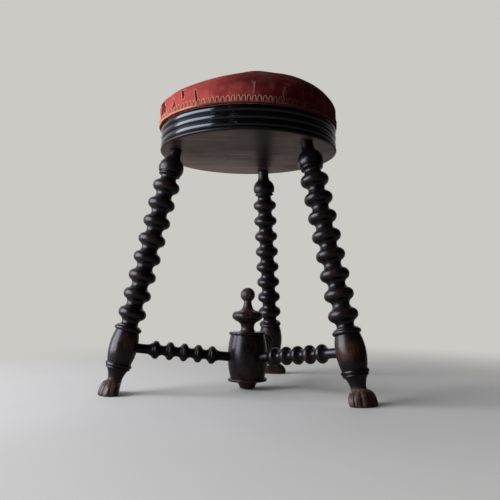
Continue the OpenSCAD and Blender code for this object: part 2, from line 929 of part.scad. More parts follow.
// The band of looped braid over the tacks
module gimp_braid() {
    braid_inset = hem_r - braid_r;
    to = braid_foot_h + braid_h;
    color("#b96a55")
        turned_ring(concat(
            [[braid_r + braid_t, braid_foot_h]],
            cushion_side(braid_inset - braid_t, seat_top_h, to),
            reversed(cushion_side(braid_inset, seat_top_h, to)),
            [[braid_r, braid_foot_h]]
        ));
}

// Places one tack after another round the cushion's hem, each with its Z axis pointing out
module round_hem() {
    for (k = [0 : tack_count - 1])
        rotate([0, 0, 360 * k / tack_count])
            translate([tack_foot_r, 0, tack_h])
                rotate([0, 90, 0])
                    children();
}

module tack_holes() {
    round_hem()
        translate([0, 0, -tack_l - mortise_gap])
            cylinder(d = tack_d + 2 * glue_fit, h = tack_l + overrun, $fn = 16);
}

module cover_tacks() {
    color("#3a3733")
        round_hem() {
            cylinder(d = tack_head_d, h = tack_head_t, $fn = 24);
            translate([0, 0, -tack_l])
                cylinder(d = tack_d, h = tack_l + tack_head_t / 2, $fn = 16);
        }
}

base_board();
leg_at(left_angle);  // leg_left
leg_at(right_angle);  // leg_right
leg_at(rear_angle);  // leg_rear
leg_wedges();
stretcher_at(left_angle);  // stretcher_left
stretcher_at(right_angle);  // stretcher_right
stretcher_at(rear_angle);  // stretcher_rear
centre_boss();
boss_finial();
pivot_plate();
pivot_plate_screws();
pivot_spindle();
thrust_washer();
spindle_washer();
spindle_nut();
seat_board();
seat_rim();
seat_plate();
seat_plate_screws();
stuffing();
calico_lining();
seat_cover();
gimp_braid();
cover_tacks();
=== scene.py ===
"""Looks of a revolving piano stool: turned ebonised wood, a worn red cushion and a looped braid.

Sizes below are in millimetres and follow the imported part; meshes are made in metres.
The stool stands on its floor point at the origin, with the rear leg on +Y.
"""

import math

import bpy
import numpy as np
from mathutils import Matrix, Vector, noise
from mathutils.bvhtree import BVHTree


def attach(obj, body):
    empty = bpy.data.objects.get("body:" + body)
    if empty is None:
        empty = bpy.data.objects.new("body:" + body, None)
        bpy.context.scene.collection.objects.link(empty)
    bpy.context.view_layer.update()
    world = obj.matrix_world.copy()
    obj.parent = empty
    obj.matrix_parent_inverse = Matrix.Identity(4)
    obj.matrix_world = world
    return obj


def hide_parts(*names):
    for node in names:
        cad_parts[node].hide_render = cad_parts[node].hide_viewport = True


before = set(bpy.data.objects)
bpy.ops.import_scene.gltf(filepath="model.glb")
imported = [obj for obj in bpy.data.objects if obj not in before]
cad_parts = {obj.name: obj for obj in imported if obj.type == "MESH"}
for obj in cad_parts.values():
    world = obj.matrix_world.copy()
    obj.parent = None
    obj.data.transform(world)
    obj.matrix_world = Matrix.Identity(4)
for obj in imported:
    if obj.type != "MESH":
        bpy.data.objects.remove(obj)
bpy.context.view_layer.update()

MM = 0.001

# Colour of the studio's wall as the camera sees it
WALL_COLOUR = (0.6, 0.59, 0.56)

# The view of the photograph, seen from the seat's axis
VIEW_TURN = 13.03
CAMERA_PLACE = (228.5, -972, 145.4)
CAMERA_PITCH = 5.21
CAMERA_ROLL = 0.266
CAMERA_LENS = 41.66
SENSOR_WIDTH = 36

VIEW_RIGHT = Vector((math.cos(math.radians(VIEW_TURN)), math.sin(math.radians(VIEW_TURN)), 0))
VIEW_AHEAD = Vector((-VIEW_RIGHT.y, VIEW_RIGHT.x, 0))

# Studio, in metres: the floor, where it fades into the wall, and the window to the camera's left
FLOOR_REACH = 7
FLOOR_CORNERS = 96
FLOOR_FADE = (0.32, 1.15)
WALL_FADE = (0.3, 1.3)
WINDOW_TURN = 72
WINDOW_AWAY = 1.7
WINDOW_MIDDLE = 0.76
WINDOW_SIZE = (1.7, 1.4)
WINDOW_WATTS = 54

# Stand and legs
BOARD_UNDER = 404
LIP_TOP = 409.2
BOARD_TOP = 426
LIP_RADIUS = 153.2
SPIGOT_RADIUS = 142.1
DARK_KNOT = (-3.7, 19.9, BOARD_UNDER)
# Painted shadow and reflection of the rear leg on the board: the band's offset in mm along a direction across
# it
SHADOW_BAND_OFFSET = 26
SHADOW_BAND_ACROSS = (0.979, 0.203, 0)
LEG_TOP_REACH = 127.7
LEG_SPLAY = 98.1
LEG_FOOT_REACH = LEG_TOP_REACH + LEG_SPLAY
LEG_LEAN = math.atan2(LEG_SPLAY, BOARD_UNDER)
LEG_LENGTH = math.hypot(LEG_SPLAY, BOARD_UNDER)
LEG_TURNS = {"left": 210, "right": 330, "rear": 90}

# Sections of a leg, from the board's underside down
NECK_RADIUS = 10
NECK_LENGTH = 9
KNOB_RADIUS = 20.8
KNOB_END = 42.4
KNOB_ROUND = 20
KNOB_FLARE = 9.5
KNOB_UNDER = 7.4
UNDERCUT_RADIUS = 16.6
UNDERCUT_END = 44
RING_RADIUS = 18
RING_END = 48.2
THROAT = 4
BOBBIN_COUNT = 8
BOBBIN_RADIUS = 22.6
WAIST_RADIUS = 13.2
CREST_SHARE = 0.53
PAW_HEIGHT = 21.2
ANKLE_END = LEG_LENGTH - PAW_HEIGHT / math.cos(LEG_LEAN)
BEAD_END = ANKLE_END - 22.5
ANKLE_STEP = 3.4
BARREL_END = BEAD_END - 6.2
BARREL_START = BARREL_END - 51.5
BARREL_MIDDLE = (BARREL_START + BARREL_END) / 2
COLLAR_START = BARREL_START - 7.6
COLLAR_COVE = 5.1
BOBBINS_END = COLLAR_START - 1.2 - COLLAR_COVE
COLLAR_FOOT_RADIUS = 18.4
COLLAR_RADIUS = 21.7
BARREL_RADIUS = 22.5
BARREL_END_RADIUS = 18.7
BEAD_RADIUS = 20.8
ANKLE_STEP_RADIUS = 19.3
ANKLE_ROOT_RADIUS = 17.1
ANKLE_RADIUS = 11.2

# Paw
PAW_FRONT = 21
PAW_BACK = 11.5
PAW_HALF_WIDTH = 28.5
TOE_COUNT = 5
TOE_SPREAD = 150
TOE_GROOVE = 1.7

# Wear: how bare each foot is, how rubbed the barrels and crests are, and how glossy each stretcher is
FOOT_BARE = {"left": 0.75, "right": 1, "rear": 0.12}
BARREL_WORN = {"left": 0.8, "right": 1, "rear": 0.3}
CREST_WORN = 0.42
RAIL_WORN = 0.5
RAIL_GLOSS = {"left": 0.24, "right": 0.52, "rear": 0.42}

# Stretchers, boss and finial
RAIL_ROOT = 51.2
RAIL_RADIUS = 7.7
RAIL_BOBBIN_RADIUS = 14.8
RAIL_BOBBIN_PITCH = 23.6
RAIL_BOBBIN_COUNT = 5
RAIL_CREST_SHARE = 0.42
RAIL_FLARE = 10.5
RAIL_MORTISE = 17
BOSS_RADIUS = 33.5
BOSS_END_RADIUS = 28.7
BOSS_LIP_RADIUS = 31.5
BOSS_BASE_RADIUS = 33.2
BOSS_LIP = 4.6
BOSS_MIDDLE = 54.8
BOSS_HALF = 36.5
DROP_RADIUS = 12.8
DROP_ROOT_RADIUS = 19.3
DROP_LENGTH = 12.2
EDGE_SHARE = 0.34
FINIAL_NECK = 19.8
FINIAL_NECK_RADIUS = 11.1
FINIAL_FOOT_RADIUS = 14.2
DISC_RADIUS = 26.5
DISC_HEIGHT = 15
STEM_LENGTH = 17.6
STEM_RADIUS = 6.4
BALL_RADIUS = 12.4

# Seat and cushion
RIM_RADIUS = 152.5
RIM_BOTTOM = 409.6
RIM_TOP = 444.7
REED_COUNT = 3
REED_DEPTH = 3.4
SKIRT_RADIUS = 143.1
SCUFFED_TURNS = ((204, 14), (261, 4), (274, 3))
TACK_COUNT = 24
HEM = 445.2
SWELL = 474.8
CROWN = 522.5
CUSHION_RADIUS = 154.2
PEAK_PLACE = -VIEW_AHEAD * 106 + VIEW_RIGHT * 10
PEAK_HEIGHT = 3.2
PEAK_SPREAD = 15
RUBBED_PLACE = (52, -131, 491)
CUSHION_DRAW = 1.1
COVER_INNER_RADIUS = 149.8
COVER_FLOOR = 455
SHOULDER_HEIGHT = 487
SHOULDER_SWELL = 3.2
FOLD_DEPTH = 0.7
FOLD_LENGTH = 15

# Cover's grid over the disc and its cloth simulation
COARSE_CELLS = 112
REFINING = 3
CLOTH_SETTINGS = {
    "quality": 6, "mass": 0.25, "tension_stiffness": 14, "compression_stiffness": 14,
    "shear_stiffness": 6, "bending_stiffness": 0.5, "use_pressure": True, "uniform_pressure_force": 4.0,
}
CLOTH_FRAMES = 20
CLOTH_CAP = 5
CLOTH_SHARE = 0.3

# Braid: its cords, and the turns in degrees between which loops and hem cords go from dark to pale. The dark
# is painted shade away from the window, with some wear on the loops round the back.
LOOPS_PER_TACK = 5
LOOP_FOOT = 447.2
LOOP_TOP = 456.3
LOOP_STEPS = 14
CORD_RADIUS = 0.62
CORD_SIDES = 7
HEM_STEPS = 480
HEM_CORDS = ((1, 0.75), (2.3, 0.6))
FRONT_LOOPS = (307, 283)
BACK_LOOPS = (100, 160)
FRONT_HEM = (258, 244)
BACK_HEM = (140, 170)

# Tears and pale creases in the cover: the angle of each, and its outline in mm, from there round the
# side (to the right seen from outside) and up the cloth from the hem
TEARS = [
    (219.0, [(-18, 35), (-11, 37), (-3, 34), (4, 35), (5, 29), (3, 24), (8, 20), (7, 15), (12, 10),
             (11, 6), (5, 7), (-1, 5), (-7, 7), (-14, 5), (-15, 12), (-18, 18), (-15, 24), (-19, 30)]),
    (232.5, [(-4, 8.5), (1, 6.5), (5, 10), (4, 15), (1.6, 19), (1, 26), (-1, 24), (-1.6, 17), (-4.5, 13)]),
    (241.5, [(-3, 25), (-2, 19), (2, 20), (3.4, 25), (2.2, 28), (4, 34), (0.5, 31), (-4.5, 33), (-2, 28)]),
    (251.3, [(2, 7), (4.4, 11), (2.4, 17), (1.8, 21), (0, 28), (-2.6, 27), (-1.4, 20), (-1, 15)]),
]
CREASES = [
    (286.2, [(-2.6, 36), (0, 28.5), (0.8, 22), (-0.5, 14.5)]),
    (286.2, [(1.8, 34), (0.8, 22)]),
    (303.8, [(2.8, 28), (0, 21), (-0.8, 12), (0.6, 6)]),
]


# Outlines: rows of [radius, height]

def arc(r, s, radius, start, end, steps=12):
    """Points of an arc round (r, s), from one angle in degrees to another."""
    angles = np.radians(np.linspace(start, end, steps + 1))
    return [[r + radius * math.cos(a), s + radius * math.sin(a)] for a in angles]


def arc_radius(half_width, rise):
    """Radius of the circle whose arc rises so far over half its width."""
    return (half_width * half_width + rise * rise) / (2 * rise)


def bead(r, start, end):
    radius = (end - start) / 2
    return arc(r - radius, start + radius, radius, -90, 90)


def plate_edge(r, start, end):
    """A plate's edge, eased at both corners."""
    ease = EDGE_SHARE * (end - start)
    return arc(r - ease, start + ease, ease, -90, 0, 5) + arc(r - ease, end - ease, ease, 0, 90, 5)


def swelling(end_r, mid_r, start, end, steps=24):
    """One long arc that swells from end_r to mid_r and back."""
    half = (end - start) / 2
    radius = arc_radius(half, mid_r - end_r)
    sweep = math.degrees(math.asin(half / radius))
    return arc(mid_r - radius, start + half, radius, -sweep, sweep, steps)


def hollow_taper(r1, r2, start, end):
    """A hollow arc that thins from r1 to r2."""
    run = end - start
    radius = arc_radius(run, r1 - r2)
    sweep = math.degrees(math.asin(run / radius))
    return arc(r2 + radius, end, -radius, sweep, 0, 16)


def bobbin_arcs(crest_r, waist_r, pitch, crest_share):
    """Radii of a bobbin's crest and cove, and the angle that each sweeps."""
    half = pitch / 2
    both = arc_radius(half, crest_r - waist_r)
    round_r = both * crest_share
    return round_r, both - round_r, math.asin(half / both)


def bobbins(crest_r, waist_r, start, pitch, count, crest_share):
    round_r, cove_r, sweep = bobbin_arcs(crest_r, waist_r, pitch, crest_share)
    sweep = math.degrees(sweep)
    points = []
    for i in range(count):
        s = start + i * pitch
        points += arc(waist_r + cove_r, s, -cove_r, 0, -sweep, 8)
        points += arc(crest_r - round_r, s + pitch / 2, round_r, -sweep, sweep, 14)
        points += arc(waist_r + cove_r, s + pitch, -cove_r, sweep, 0, 8)
    return points


def crest_foot(crest_r, waist_r, pitch, crest_share):
    """Radius where a bobbin's crest meets its cove, and how far off its middle that is."""
    round_r, _, sweep = bobbin_arcs(crest_r, waist_r, pitch, crest_share)
    return crest_r - round_r * (1 - math.cos(sweep)), round_r * math.sin(sweep)


def between(shares, r1, r2, h1, h2):
    """Points at shares of the height and radius from (r1, h1) to (r2, h2)."""
    return [[r1 + q * (r2 - r1), h1 + p * (h2 - h1)] for p, q in shares]


def on_curve(t, a, b, slope_a, slope_b):
    """A smooth curve from a to b, with these slopes at its ends, at t from 0 to 1."""
    step = b - a
    return a + t * (slope_a + t * (3 * step - 2 * slope_a - slope_b + t * (slope_a + slope_b - 2 * step)))


def smooth_between(shares, r1, r2, h1, h2, steps):
    """The same, along a smooth curve through the shares."""
    p, q = np.array(shares, float).T
    at = np.linspace(p[0], p[-1], steps + 1)
    slope = np.gradient(q, p)
    k = np.clip(np.searchsorted(p, at, side="right") - 1, 0, len(p) - 2)
    width = p[k + 1] - p[k]
    value = on_curve((at - p[k]) / width, q[k], q[k + 1], width * slope[k], width * slope[k + 1])
    return between(zip(at, value), r1, r2, h1, h2)


def distinct(points, least=0.02):
    """The points without those that almost repeat the one before."""
    kept = [points[0]]
    for p in points[1:]:
        if math.hypot(p[0] - kept[-1][0], p[1] - kept[-1][1]) > least:
            kept.append(p)
    return kept


def leg_outline():
    over_knob = KNOB_END - NECK_LENGTH - KNOB_FLARE - KNOB_UNDER
    over_sweep = math.degrees(math.asin(over_knob / KNOB_ROUND))
    under_sweep = math.degrees(math.asin(KNOB_UNDER / KNOB_ROUND))
    flare_radius = KNOB_RADIUS - KNOB_ROUND * (1 - math.cos(math.radians(over_sweep)))
    flare_shares = [(0, 0), (0.3, 0.1), (0.55, 0.3), (0.8, 0.62), (1, 1)]
    bobbins_start = RING_END + THROAT
    pitch = (BOBBINS_END - bobbins_start) / BOBBIN_COUNT
    return distinct(
        [[NECK_RADIUS, 0.0], [NECK_RADIUS, 0.8 * NECK_LENGTH]]
        + between(flare_shares, NECK_RADIUS, flare_radius, NECK_LENGTH, NECK_LENGTH + KNOB_FLARE)
        + arc(KNOB_RADIUS - KNOB_ROUND, KNOB_END - KNOB_UNDER, KNOB_ROUND, -over_sweep, under_sweep, 24)
        + [[UNDERCUT_RADIUS, KNOB_END], [UNDERCUT_RADIUS, UNDERCUT_END]]
        + bead(RING_RADIUS, UNDERCUT_END, RING_END)
        + arc(WAIST_RADIUS + THROAT, bobbins_start, -THROAT, 90, 0, 8)
        + bobbins(BOBBIN_RADIUS, WAIST_RADIUS, bobbins_start, pitch, BOBBIN_COUNT, CREST_SHARE)
        + arc(WAIST_RADIUS + COLLAR_COVE, BOBBINS_END, -COLLAR_COVE, 0, -90, 8)
        + [[COLLAR_FOOT_RADIUS, COLLAR_START]]
        + bead(COLLAR_RADIUS, COLLAR_START, BARREL_START)
        + swelling(BARREL_END_RADIUS, BARREL_RADIUS, BARREL_START, BARREL_END)
        + plate_edge(BEAD_RADIUS, BARREL_END, BEAD_END)
        + plate_edge(ANKLE_STEP_RADIUS, BEAD_END, BEAD_END + ANKLE_STEP)
        + hollow_taper(ANKLE_ROOT_RADIUS, ANKLE_RADIUS, BEAD_END + ANKLE_STEP, ANKLE_END)
    )


def stretcher_outline():
    """A stretcher from inside the boss to inside a leg, and the angle that it rises at."""
    reach = LEG_TOP_REACH + BARREL_MIDDLE * math.sin(LEG_LEAN)
    height = BOARD_UNDER - BARREL_MIDDLE * math.cos(LEG_LEAN) - RAIL_ROOT
    length = math.hypot(reach, height)
    start = (BOSS_RADIUS + length - BARREL_RADIUS) / 2 - RAIL_BOBBIN_COUNT * RAIL_BOBBIN_PITCH / 2
    sizes = (RAIL_BOBBIN_RADIUS, RAIL_RADIUS)
    row = bobbins(*sizes, start, RAIL_BOBBIN_PITCH, RAIL_BOBBIN_COUNT, RAIL_CREST_SHARE)
    foot_radius, foot = crest_foot(*sizes, RAIL_BOBBIN_PITCH, RAIL_CREST_SHARE)
    first = start + RAIL_BOBBIN_PITCH / 2 - foot
    last = start + (RAIL_BOBBIN_COUNT - 0.5) * RAIL_BOBBIN_PITCH + foot
    flare = hollow_taper(foot_radius, RAIL_RADIUS, 0, RAIL_FLARE)
    outline = distinct(
        [[RAIL_RADIUS, BOSS_RADIUS - RAIL_MORTISE], [RAIL_RADIUS, BOSS_RADIUS]]
        + [[r, first - h] for r, h in reversed(flare)]
        + [[r, h] for r, h in row if first < h < last]
        + [[r, last + h] for r, h in flare]
        + [[RAIL_RADIUS, length - BARREL_RADIUS], [RAIL_RADIUS, length - BARREL_RADIUS + RAIL_MORTISE]]
    )
    return outline, math.atan2(height, reach)


def boss_outline():
    low = BOSS_MIDDLE - BOSS_HALF
    high = BOSS_MIDDLE + BOSS_HALF
    under = low - BOSS_LIP
    drop = under - DROP_LENGTH
    drop_shares = [(0, 0), (0.3, 0.22), (0.6, 0.5), (0.85, 0.8), (1, 1)]
    return distinct(
        [[DROP_RADIUS - 1.5, drop], [DROP_RADIUS - 0.5, drop + 0.4]]
        + smooth_between(drop_shares, DROP_RADIUS, DROP_ROOT_RADIUS, drop + 1.5, under, 10)
        + plate_edge(BOSS_BASE_RADIUS, under, low)
        + swelling(BOSS_END_RADIUS, BOSS_RADIUS, low, high)
        + plate_edge(BOSS_LIP_RADIUS, high, high + BOSS_LIP)
    )


def finial_outline():
    foot = BOSS_MIDDLE + BOSS_HALF + BOSS_LIP
    disc = foot + FINIAL_NECK
    edge = DISC_HEIGHT / 2
    disc_top = disc + DISC_HEIGHT
    ball_bottom = disc_top + STEM_LENGTH
    ball_middle = ball_bottom + math.sqrt(BALL_RADIUS**2 - STEM_RADIUS**2)
    ball_angle = math.degrees(math.asin((ball_middle - ball_bottom) / BALL_RADIUS))
    rim = arc(DISC_RADIUS - edge, disc + edge, edge, -65, 80, 20)
    neck_shares = [(0, 1), (0.05, 0.75), (0.15, 0.3), (0.25, 0.08), (0.34, 0)]
    flare_shares = [(0.38, 0), (0.55, 0.06), (0.69, 0.17), (0.8, 0.34), (0.9, 0.62), (0.96, 0.85), (1, 0.98)]
    stem_shares = [
        (0.0, 0.9), (0.04, 0.68), (0.11, 0.44), (0.2, 0.3), (0.32, 0.2), (0.5, 0.11), (0.75, 0.03), (1, 0),
    ]
    return distinct(
        smooth_between(neck_shares, FINIAL_NECK_RADIUS, FINIAL_FOOT_RADIUS, foot, disc, 8)
        + smooth_between(flare_shares, FINIAL_NECK_RADIUS, rim[0][0], foot, disc, 14)
        + rim
        + smooth_between(stem_shares, STEM_RADIUS, rim[-1][0], disc_top, ball_bottom, 20)
        + arc(0, ball_middle, BALL_RADIUS, -ball_angle, 90, 24)
    )


def rim_outline():
    reed = (RIM_TOP - RIM_BOTTOM) / REED_COUNT
    points = [[SKIRT_RADIUS, RIM_TOP], [SKIRT_RADIUS, RIM_BOTTOM]]
    for k in range(REED_COUNT):
        start = RIM_BOTTOM + k * reed
        points += swelling(RIM_RADIUS - REED_DEPTH, RIM_RADIUS, start, start + reed, 14)
    return distinct(points)


def board_outline():
    return distinct(
        [[r, BOARD_UNDER] for r in np.linspace(0, 0.95 * LIP_RADIUS, 24)]
        + bead(LIP_RADIUS, BOARD_UNDER, LIP_TOP)
        + [[SPIGOT_RADIUS, LIP_TOP], [SPIGOT_RADIUS, BOARD_TOP], [0.0, BOARD_TOP]]
    )


# Meshes

def add_object(name, data):
    made = bpy.data.objects.new(name, data)
    bpy.context.scene.collection.objects.link(made)
    return made


def mesh_piece(name, vertices, faces, place=Matrix.Identity(4), sharp=38.0, **marks):
    """A smooth-shaded object in metres from vertices in millimetres in a piece's own frame. The own
    places stay in grain_place, which the wood follows; materials read each mark by its name."""
    mesh = bpy.data.meshes.new(name)
    mesh.from_pydata([tuple(v) for v in vertices], [], faces)
    mesh.validate()
    own = np.empty(len(mesh.vertices) * 3, np.float32)
    mesh.vertices.foreach_get("co", own)
    mesh.attributes.new("grain_place", "FLOAT_VECTOR", "POINT").data.foreach_set("vector", own * MM)
    mesh.transform(Matrix.Scale(MM, 4) @ place)
    mesh.shade_smooth()
    mesh.set_sharp_from_angle(angle=math.radians(sharp))
    mesh.update()
    for mark, values in marks.items():
        numbers = np.empty(len(mesh.vertices), np.float32)
        numbers[:] = values
        mesh.attributes.new(mark, "FLOAT", "POINT").data.foreach_set("value", numbers)
    return add_object(name, mesh)


def lathe(outline, segments, rough=0.0, seed=0.0, closed=False):
    """Vertices and faces of a turned solid, whose surface strays so far, in mm, where rough."""
    vertices, faces, rings = [], [], []
    for r, h in outline:
        ring = []
        for k in range(segments if r > 0.01 else 1):
            a = 2 * math.pi * k / segments
            spot = Vector((math.cos(a) * 1.2, math.sin(a) * 1.2, h / 22 + seed))
            reach = r + rough * noise.noise(spot) if r > 0.01 else 0.0
            ring.append(len(vertices))
            vertices.append((reach * math.cos(a), reach * math.sin(a), h))
        rings.append(ring)
    if closed:
        rings.append(rings[0])
    else:
        faces += [ring for ring in (rings[0][::-1], rings[-1]) if len(ring) > 1]
    for low, high in zip(rings, rings[1:]):
        for k in range(segments):
            n = (k + 1) % segments
            corners = (low[k % len(low)], low[n % len(low)], high[n % len(high)], high[k % len(high)])
            faces.append(tuple(dict.fromkeys(corners)))
    return np.array(vertices), faces


def tube_faces(count, sides, closed=False):
    """Faces between rings of vertices that follow each other, capped unless closed."""
    faces = []
    for row in range(count if closed else count - 1):
        a = row * sides
        b = (row + 1) % count * sides
        for k in range(sides):
            n = (k + 1) % sides
            faces.append((a + k, b + k, b + n, a + n))
    if not closed:
        faces.append(tuple(range(sides)))
        faces.append(tuple(reversed(range((count - 1) * sides, count * sides))))
    return faces


def ramp(value, start, end):
    """0 up to start, 1 past end, and even between them."""
    return np.clip((value - start) / (end - start), 0, 1)


def paw_spread(level):
    """How far the paw has spread at a level: 1 is the ankle and 0 the floor."""
    return max(0.0, 1 - level**3.4) ** 0.75 * (1 - 0.12 * max(0.0, 1 - 4 * level) ** 2)


def toe_dip(off):
    """Depth of the grooves between the toes at an angle in degrees off the front."""
    if abs(off) > TOE_SPREAD / 2 + 1:
        return 0.0
    wave = (1 + math.cos(2 * math.pi * TOE_COUNT * (off / TOE_SPREAD + 0.5))) / 2
    return wave**3


def paw(seed, points=160):
    """A carved paw along +X, from inside the ankle down to the floor."""
    levels = [1.1, 0.99, 0.975, 0.96, 0.94, 0.92] + list(np.linspace(0.89, 0.06, 26)) + [0.035, 0.015, 0.0]
    ankle = ANKLE_RADIUS - 0.15
    vertices = []
    for level in levels:
        tilt = LEG_LEAN * min(1.0, level * level)
        spread = paw_spread(level)
        front = ankle + (PAW_FRONT - ankle) * spread
        back = ankle + (PAW_BACK - ankle) * max(0.0, 1 - level) ** 1.2
        half = ankle + (PAW_HALF_WIDTH - ankle) * spread
        carved = max(0.0, 1 - level**6)
        axis = LEG_FOOT_REACH - PAW_HEIGHT * level * math.tan(LEG_LEAN)
        for k in range(points):
            a = 2 * math.pi * k / points
            off = math.degrees(a) if a <= math.pi else math.degrees(a) - 360
            stray = 0.35 * noise.noise(Vector((3 * math.cos(a), 3 * math.sin(a), 3 * level + seed)))
            dip = TOE_GROOVE * carved * toe_dip(off) - stray * carved
            along = ((front if abs(off) < 90 else back) - dip) * math.cos(a)
            across = (half - dip) * math.sin(a)
            height = max(0.0, PAW_HEIGHT * level + along * math.sin(tilt))
            vertices.append((axis + along * math.cos(tilt), across, height))
    return vertices, tube_faces(len(levels), points)


def side_place(side, reach=0.0, height=0.0, lean=0.0):
    """A place moved out and up, leant, and turned to a leg's side of the stool."""
    turned = Matrix.Rotation(math.radians(LEG_TURNS[side]), 4, "Z")
    return turned @ Matrix.Translation((reach, 0, height)) @ Matrix.Rotation(lean, 4, "Y")


def make_leg(side, seed):
    """One leg, worn on its crests and barrel and bare at its ankle."""
    outline = [[r, -s] for r, s in leg_outline()][::-1]
    own, faces = lathe(outline, 72, rough=0.3, seed=seed)
    place = side_place(side, LEG_TOP_REACH, BOARD_UNDER, -LEG_LEAN)
    down = -own[:, 2]
    crest = ramp(np.hypot(own[:, 0], own[:, 1]), WAIST_RADIUS + 5, BOBBIN_RADIUS) ** 2
    barrel = ramp(np.abs(down - BARREL_MIDDLE), 26, 0) ** 0.7
    worn = np.clip(CREST_WORN * crest + BARREL_WORN[side] * barrel, 0, 1)
    bare = FOOT_BARE[side] * ramp(down, ANKLE_END - 7, ANKLE_END + 2)
    return mesh_piece(f"turned_leg_{side}", own, faces, place, worn=worn, bare=bare)


def make_paw(side, seed):
    name = f"carved_paw_{side}"
    return mesh_piece(name, *paw(seed), side_place(side), sharp=55, worn=0.5, bare=FOOT_BARE[side])


def make_stretcher(side, seed):
    outline, rise = stretcher_outline()
    own, faces = lathe(outline, 64, rough=0.22, seed=seed)
    place = side_place(side, height=RAIL_ROOT, lean=math.pi / 2 - rise)
    crest = ramp(np.hypot(own[:, 0], own[:, 1]), RAIL_RADIUS + 3, RAIL_BOBBIN_RADIUS) ** 2
    return mesh_piece(f"turned_stretcher_{side}", own, faces, place, worn=RAIL_WORN * crest, bare=0.0)


# Materials

class Nodes:
    """A small helper that adds nodes to a tree and joins them."""

    def __init__(self, tree):
        self.tree = tree

    def put(self, socket, value):
        """Joins an output to a socket, or sets a constant there."""
        if isinstance(value, bpy.types.NodeSocket):
            self.tree.links.new(value, socket)
        else:
            socket.default_value = value

    def node(self, kind, inputs=None, **settings):
        """A new node with its settings, and an output or a constant on each named input."""
        made = self.tree.nodes.new(kind)
        for key, value in settings.items():
            setattr(made, key, value)
        for key, value in (inputs or {}).items():
            self.put(made.inputs[key], value)
        return made

    def attribute(self, name, output="Fac"):
        return self.node("ShaderNodeAttribute", attribute_name=name).outputs[output]

    def stretch(self, vector, scale):
        """A place scaled on each axis: a pattern is drawn out where the scale is small."""
        return self.node("ShaderNodeMapping", {"Vector": vector, "Scale": scale}).outputs["Vector"]

    def away(self, vector, point):
        """Distance of a place from a point given in millimetres."""
        inputs = {0: vector, 1: [v * MM for v in point]}
        return self.node("ShaderNodeVectorMath", inputs, operation="DISTANCE").outputs["Value"]

    def along(self, vector, direction):
        inputs = {0: vector, 1: direction}
        return self.node("ShaderNodeVectorMath", inputs, operation="DOT_PRODUCT").outputs["Value"]

    def noise(self, vector, scale, detail=4.0, rough=0.55, distortion=0.0):
        inputs = {"Vector": vector, "Scale": scale, "Detail": detail, "Roughness": rough}
        inputs["Distortion"] = distortion
        return self.node("ShaderNodeTexNoise", inputs).outputs["Fac"]

    def reckon(self, operation, a, b=0.0):
        return self.node("ShaderNodeMath", {0: a, 1: b}, operation=operation).outputs[0]

    def plus(self, a, b):
        return self.reckon("ADD", a, b)

    def minus(self, a, b):
        return self.reckon("SUBTRACT", a, b)

    def times(self, a, b):
        return self.reckon("MULTIPLY", a, b)

    def off(self, a, b):
        """How far a value is from another."""
        return self.reckon("ABSOLUTE", self.minus(a, b))

    def span(self, value, low, high, to_low=0.0, to_high=1.0):
        """value from low..high carried to to_low..to_high, clamped, with soft ends."""
        inputs = {"Value": value, "From Min": low, "From Max": high, "To Min": to_low, "To Max": to_high}
        return self.node("ShaderNodeMapRange", inputs, interpolation_type="SMOOTHSTEP").outputs["Result"]

    def mix(self, share, a, b):
        """Colour a with a share of colour b over it."""
        made = self.node("ShaderNodeMix", {"Factor": share}, data_type="RGBA")
        for key, colour in (("A", a), ("B", b)):
            self.put(made.inputs[key], (*colour, 1) if isinstance(colour, tuple) else colour)
        return made.outputs["Result"]

    def tones(self, pattern, a, b, low=0.3, high=0.7):
        """Colour a where a pattern is low, b where it is high."""
        return self.mix(self.span(pattern, low, high), a, b)

    def bump(self, height, strength, distance, under=None):
        """A normal that follows a pattern, over another where one is given."""
        inputs = {"Strength": strength, "Distance": distance, "Height": height}
        if under is not None:
            inputs["Normal"] = under
        return self.node("ShaderNodeBump", inputs).outputs["Normal"]

    def blend(self, share, a, b):
        """Shader a with a share of shader b over it."""
        return self.node("ShaderNodeMixShader", {"Fac": share, 1: a, 2: b}).outputs["Shader"]


class Shader(Nodes):
    """A new material's nodes."""

    def __init__(self, name):
        self.material = bpy.data.materials.new(name)
        self.material.use_nodes = True
        super().__init__(self.material.node_tree)
        self.surface = self.tree.nodes["Principled BSDF"]

    def finish(self, colour, roughness, normal, **constants):
        """Sets the surface's inputs, where _ stands for a space, and gives the material."""
        inputs = {"Base Color": colour, "Roughness": roughness, "Normal": normal}
        inputs.update((key.replace("_", " "), value) for key, value in constants.items())
        for key, value in inputs.items():
            self.put(self.surface.inputs[key], value)
        return self.material


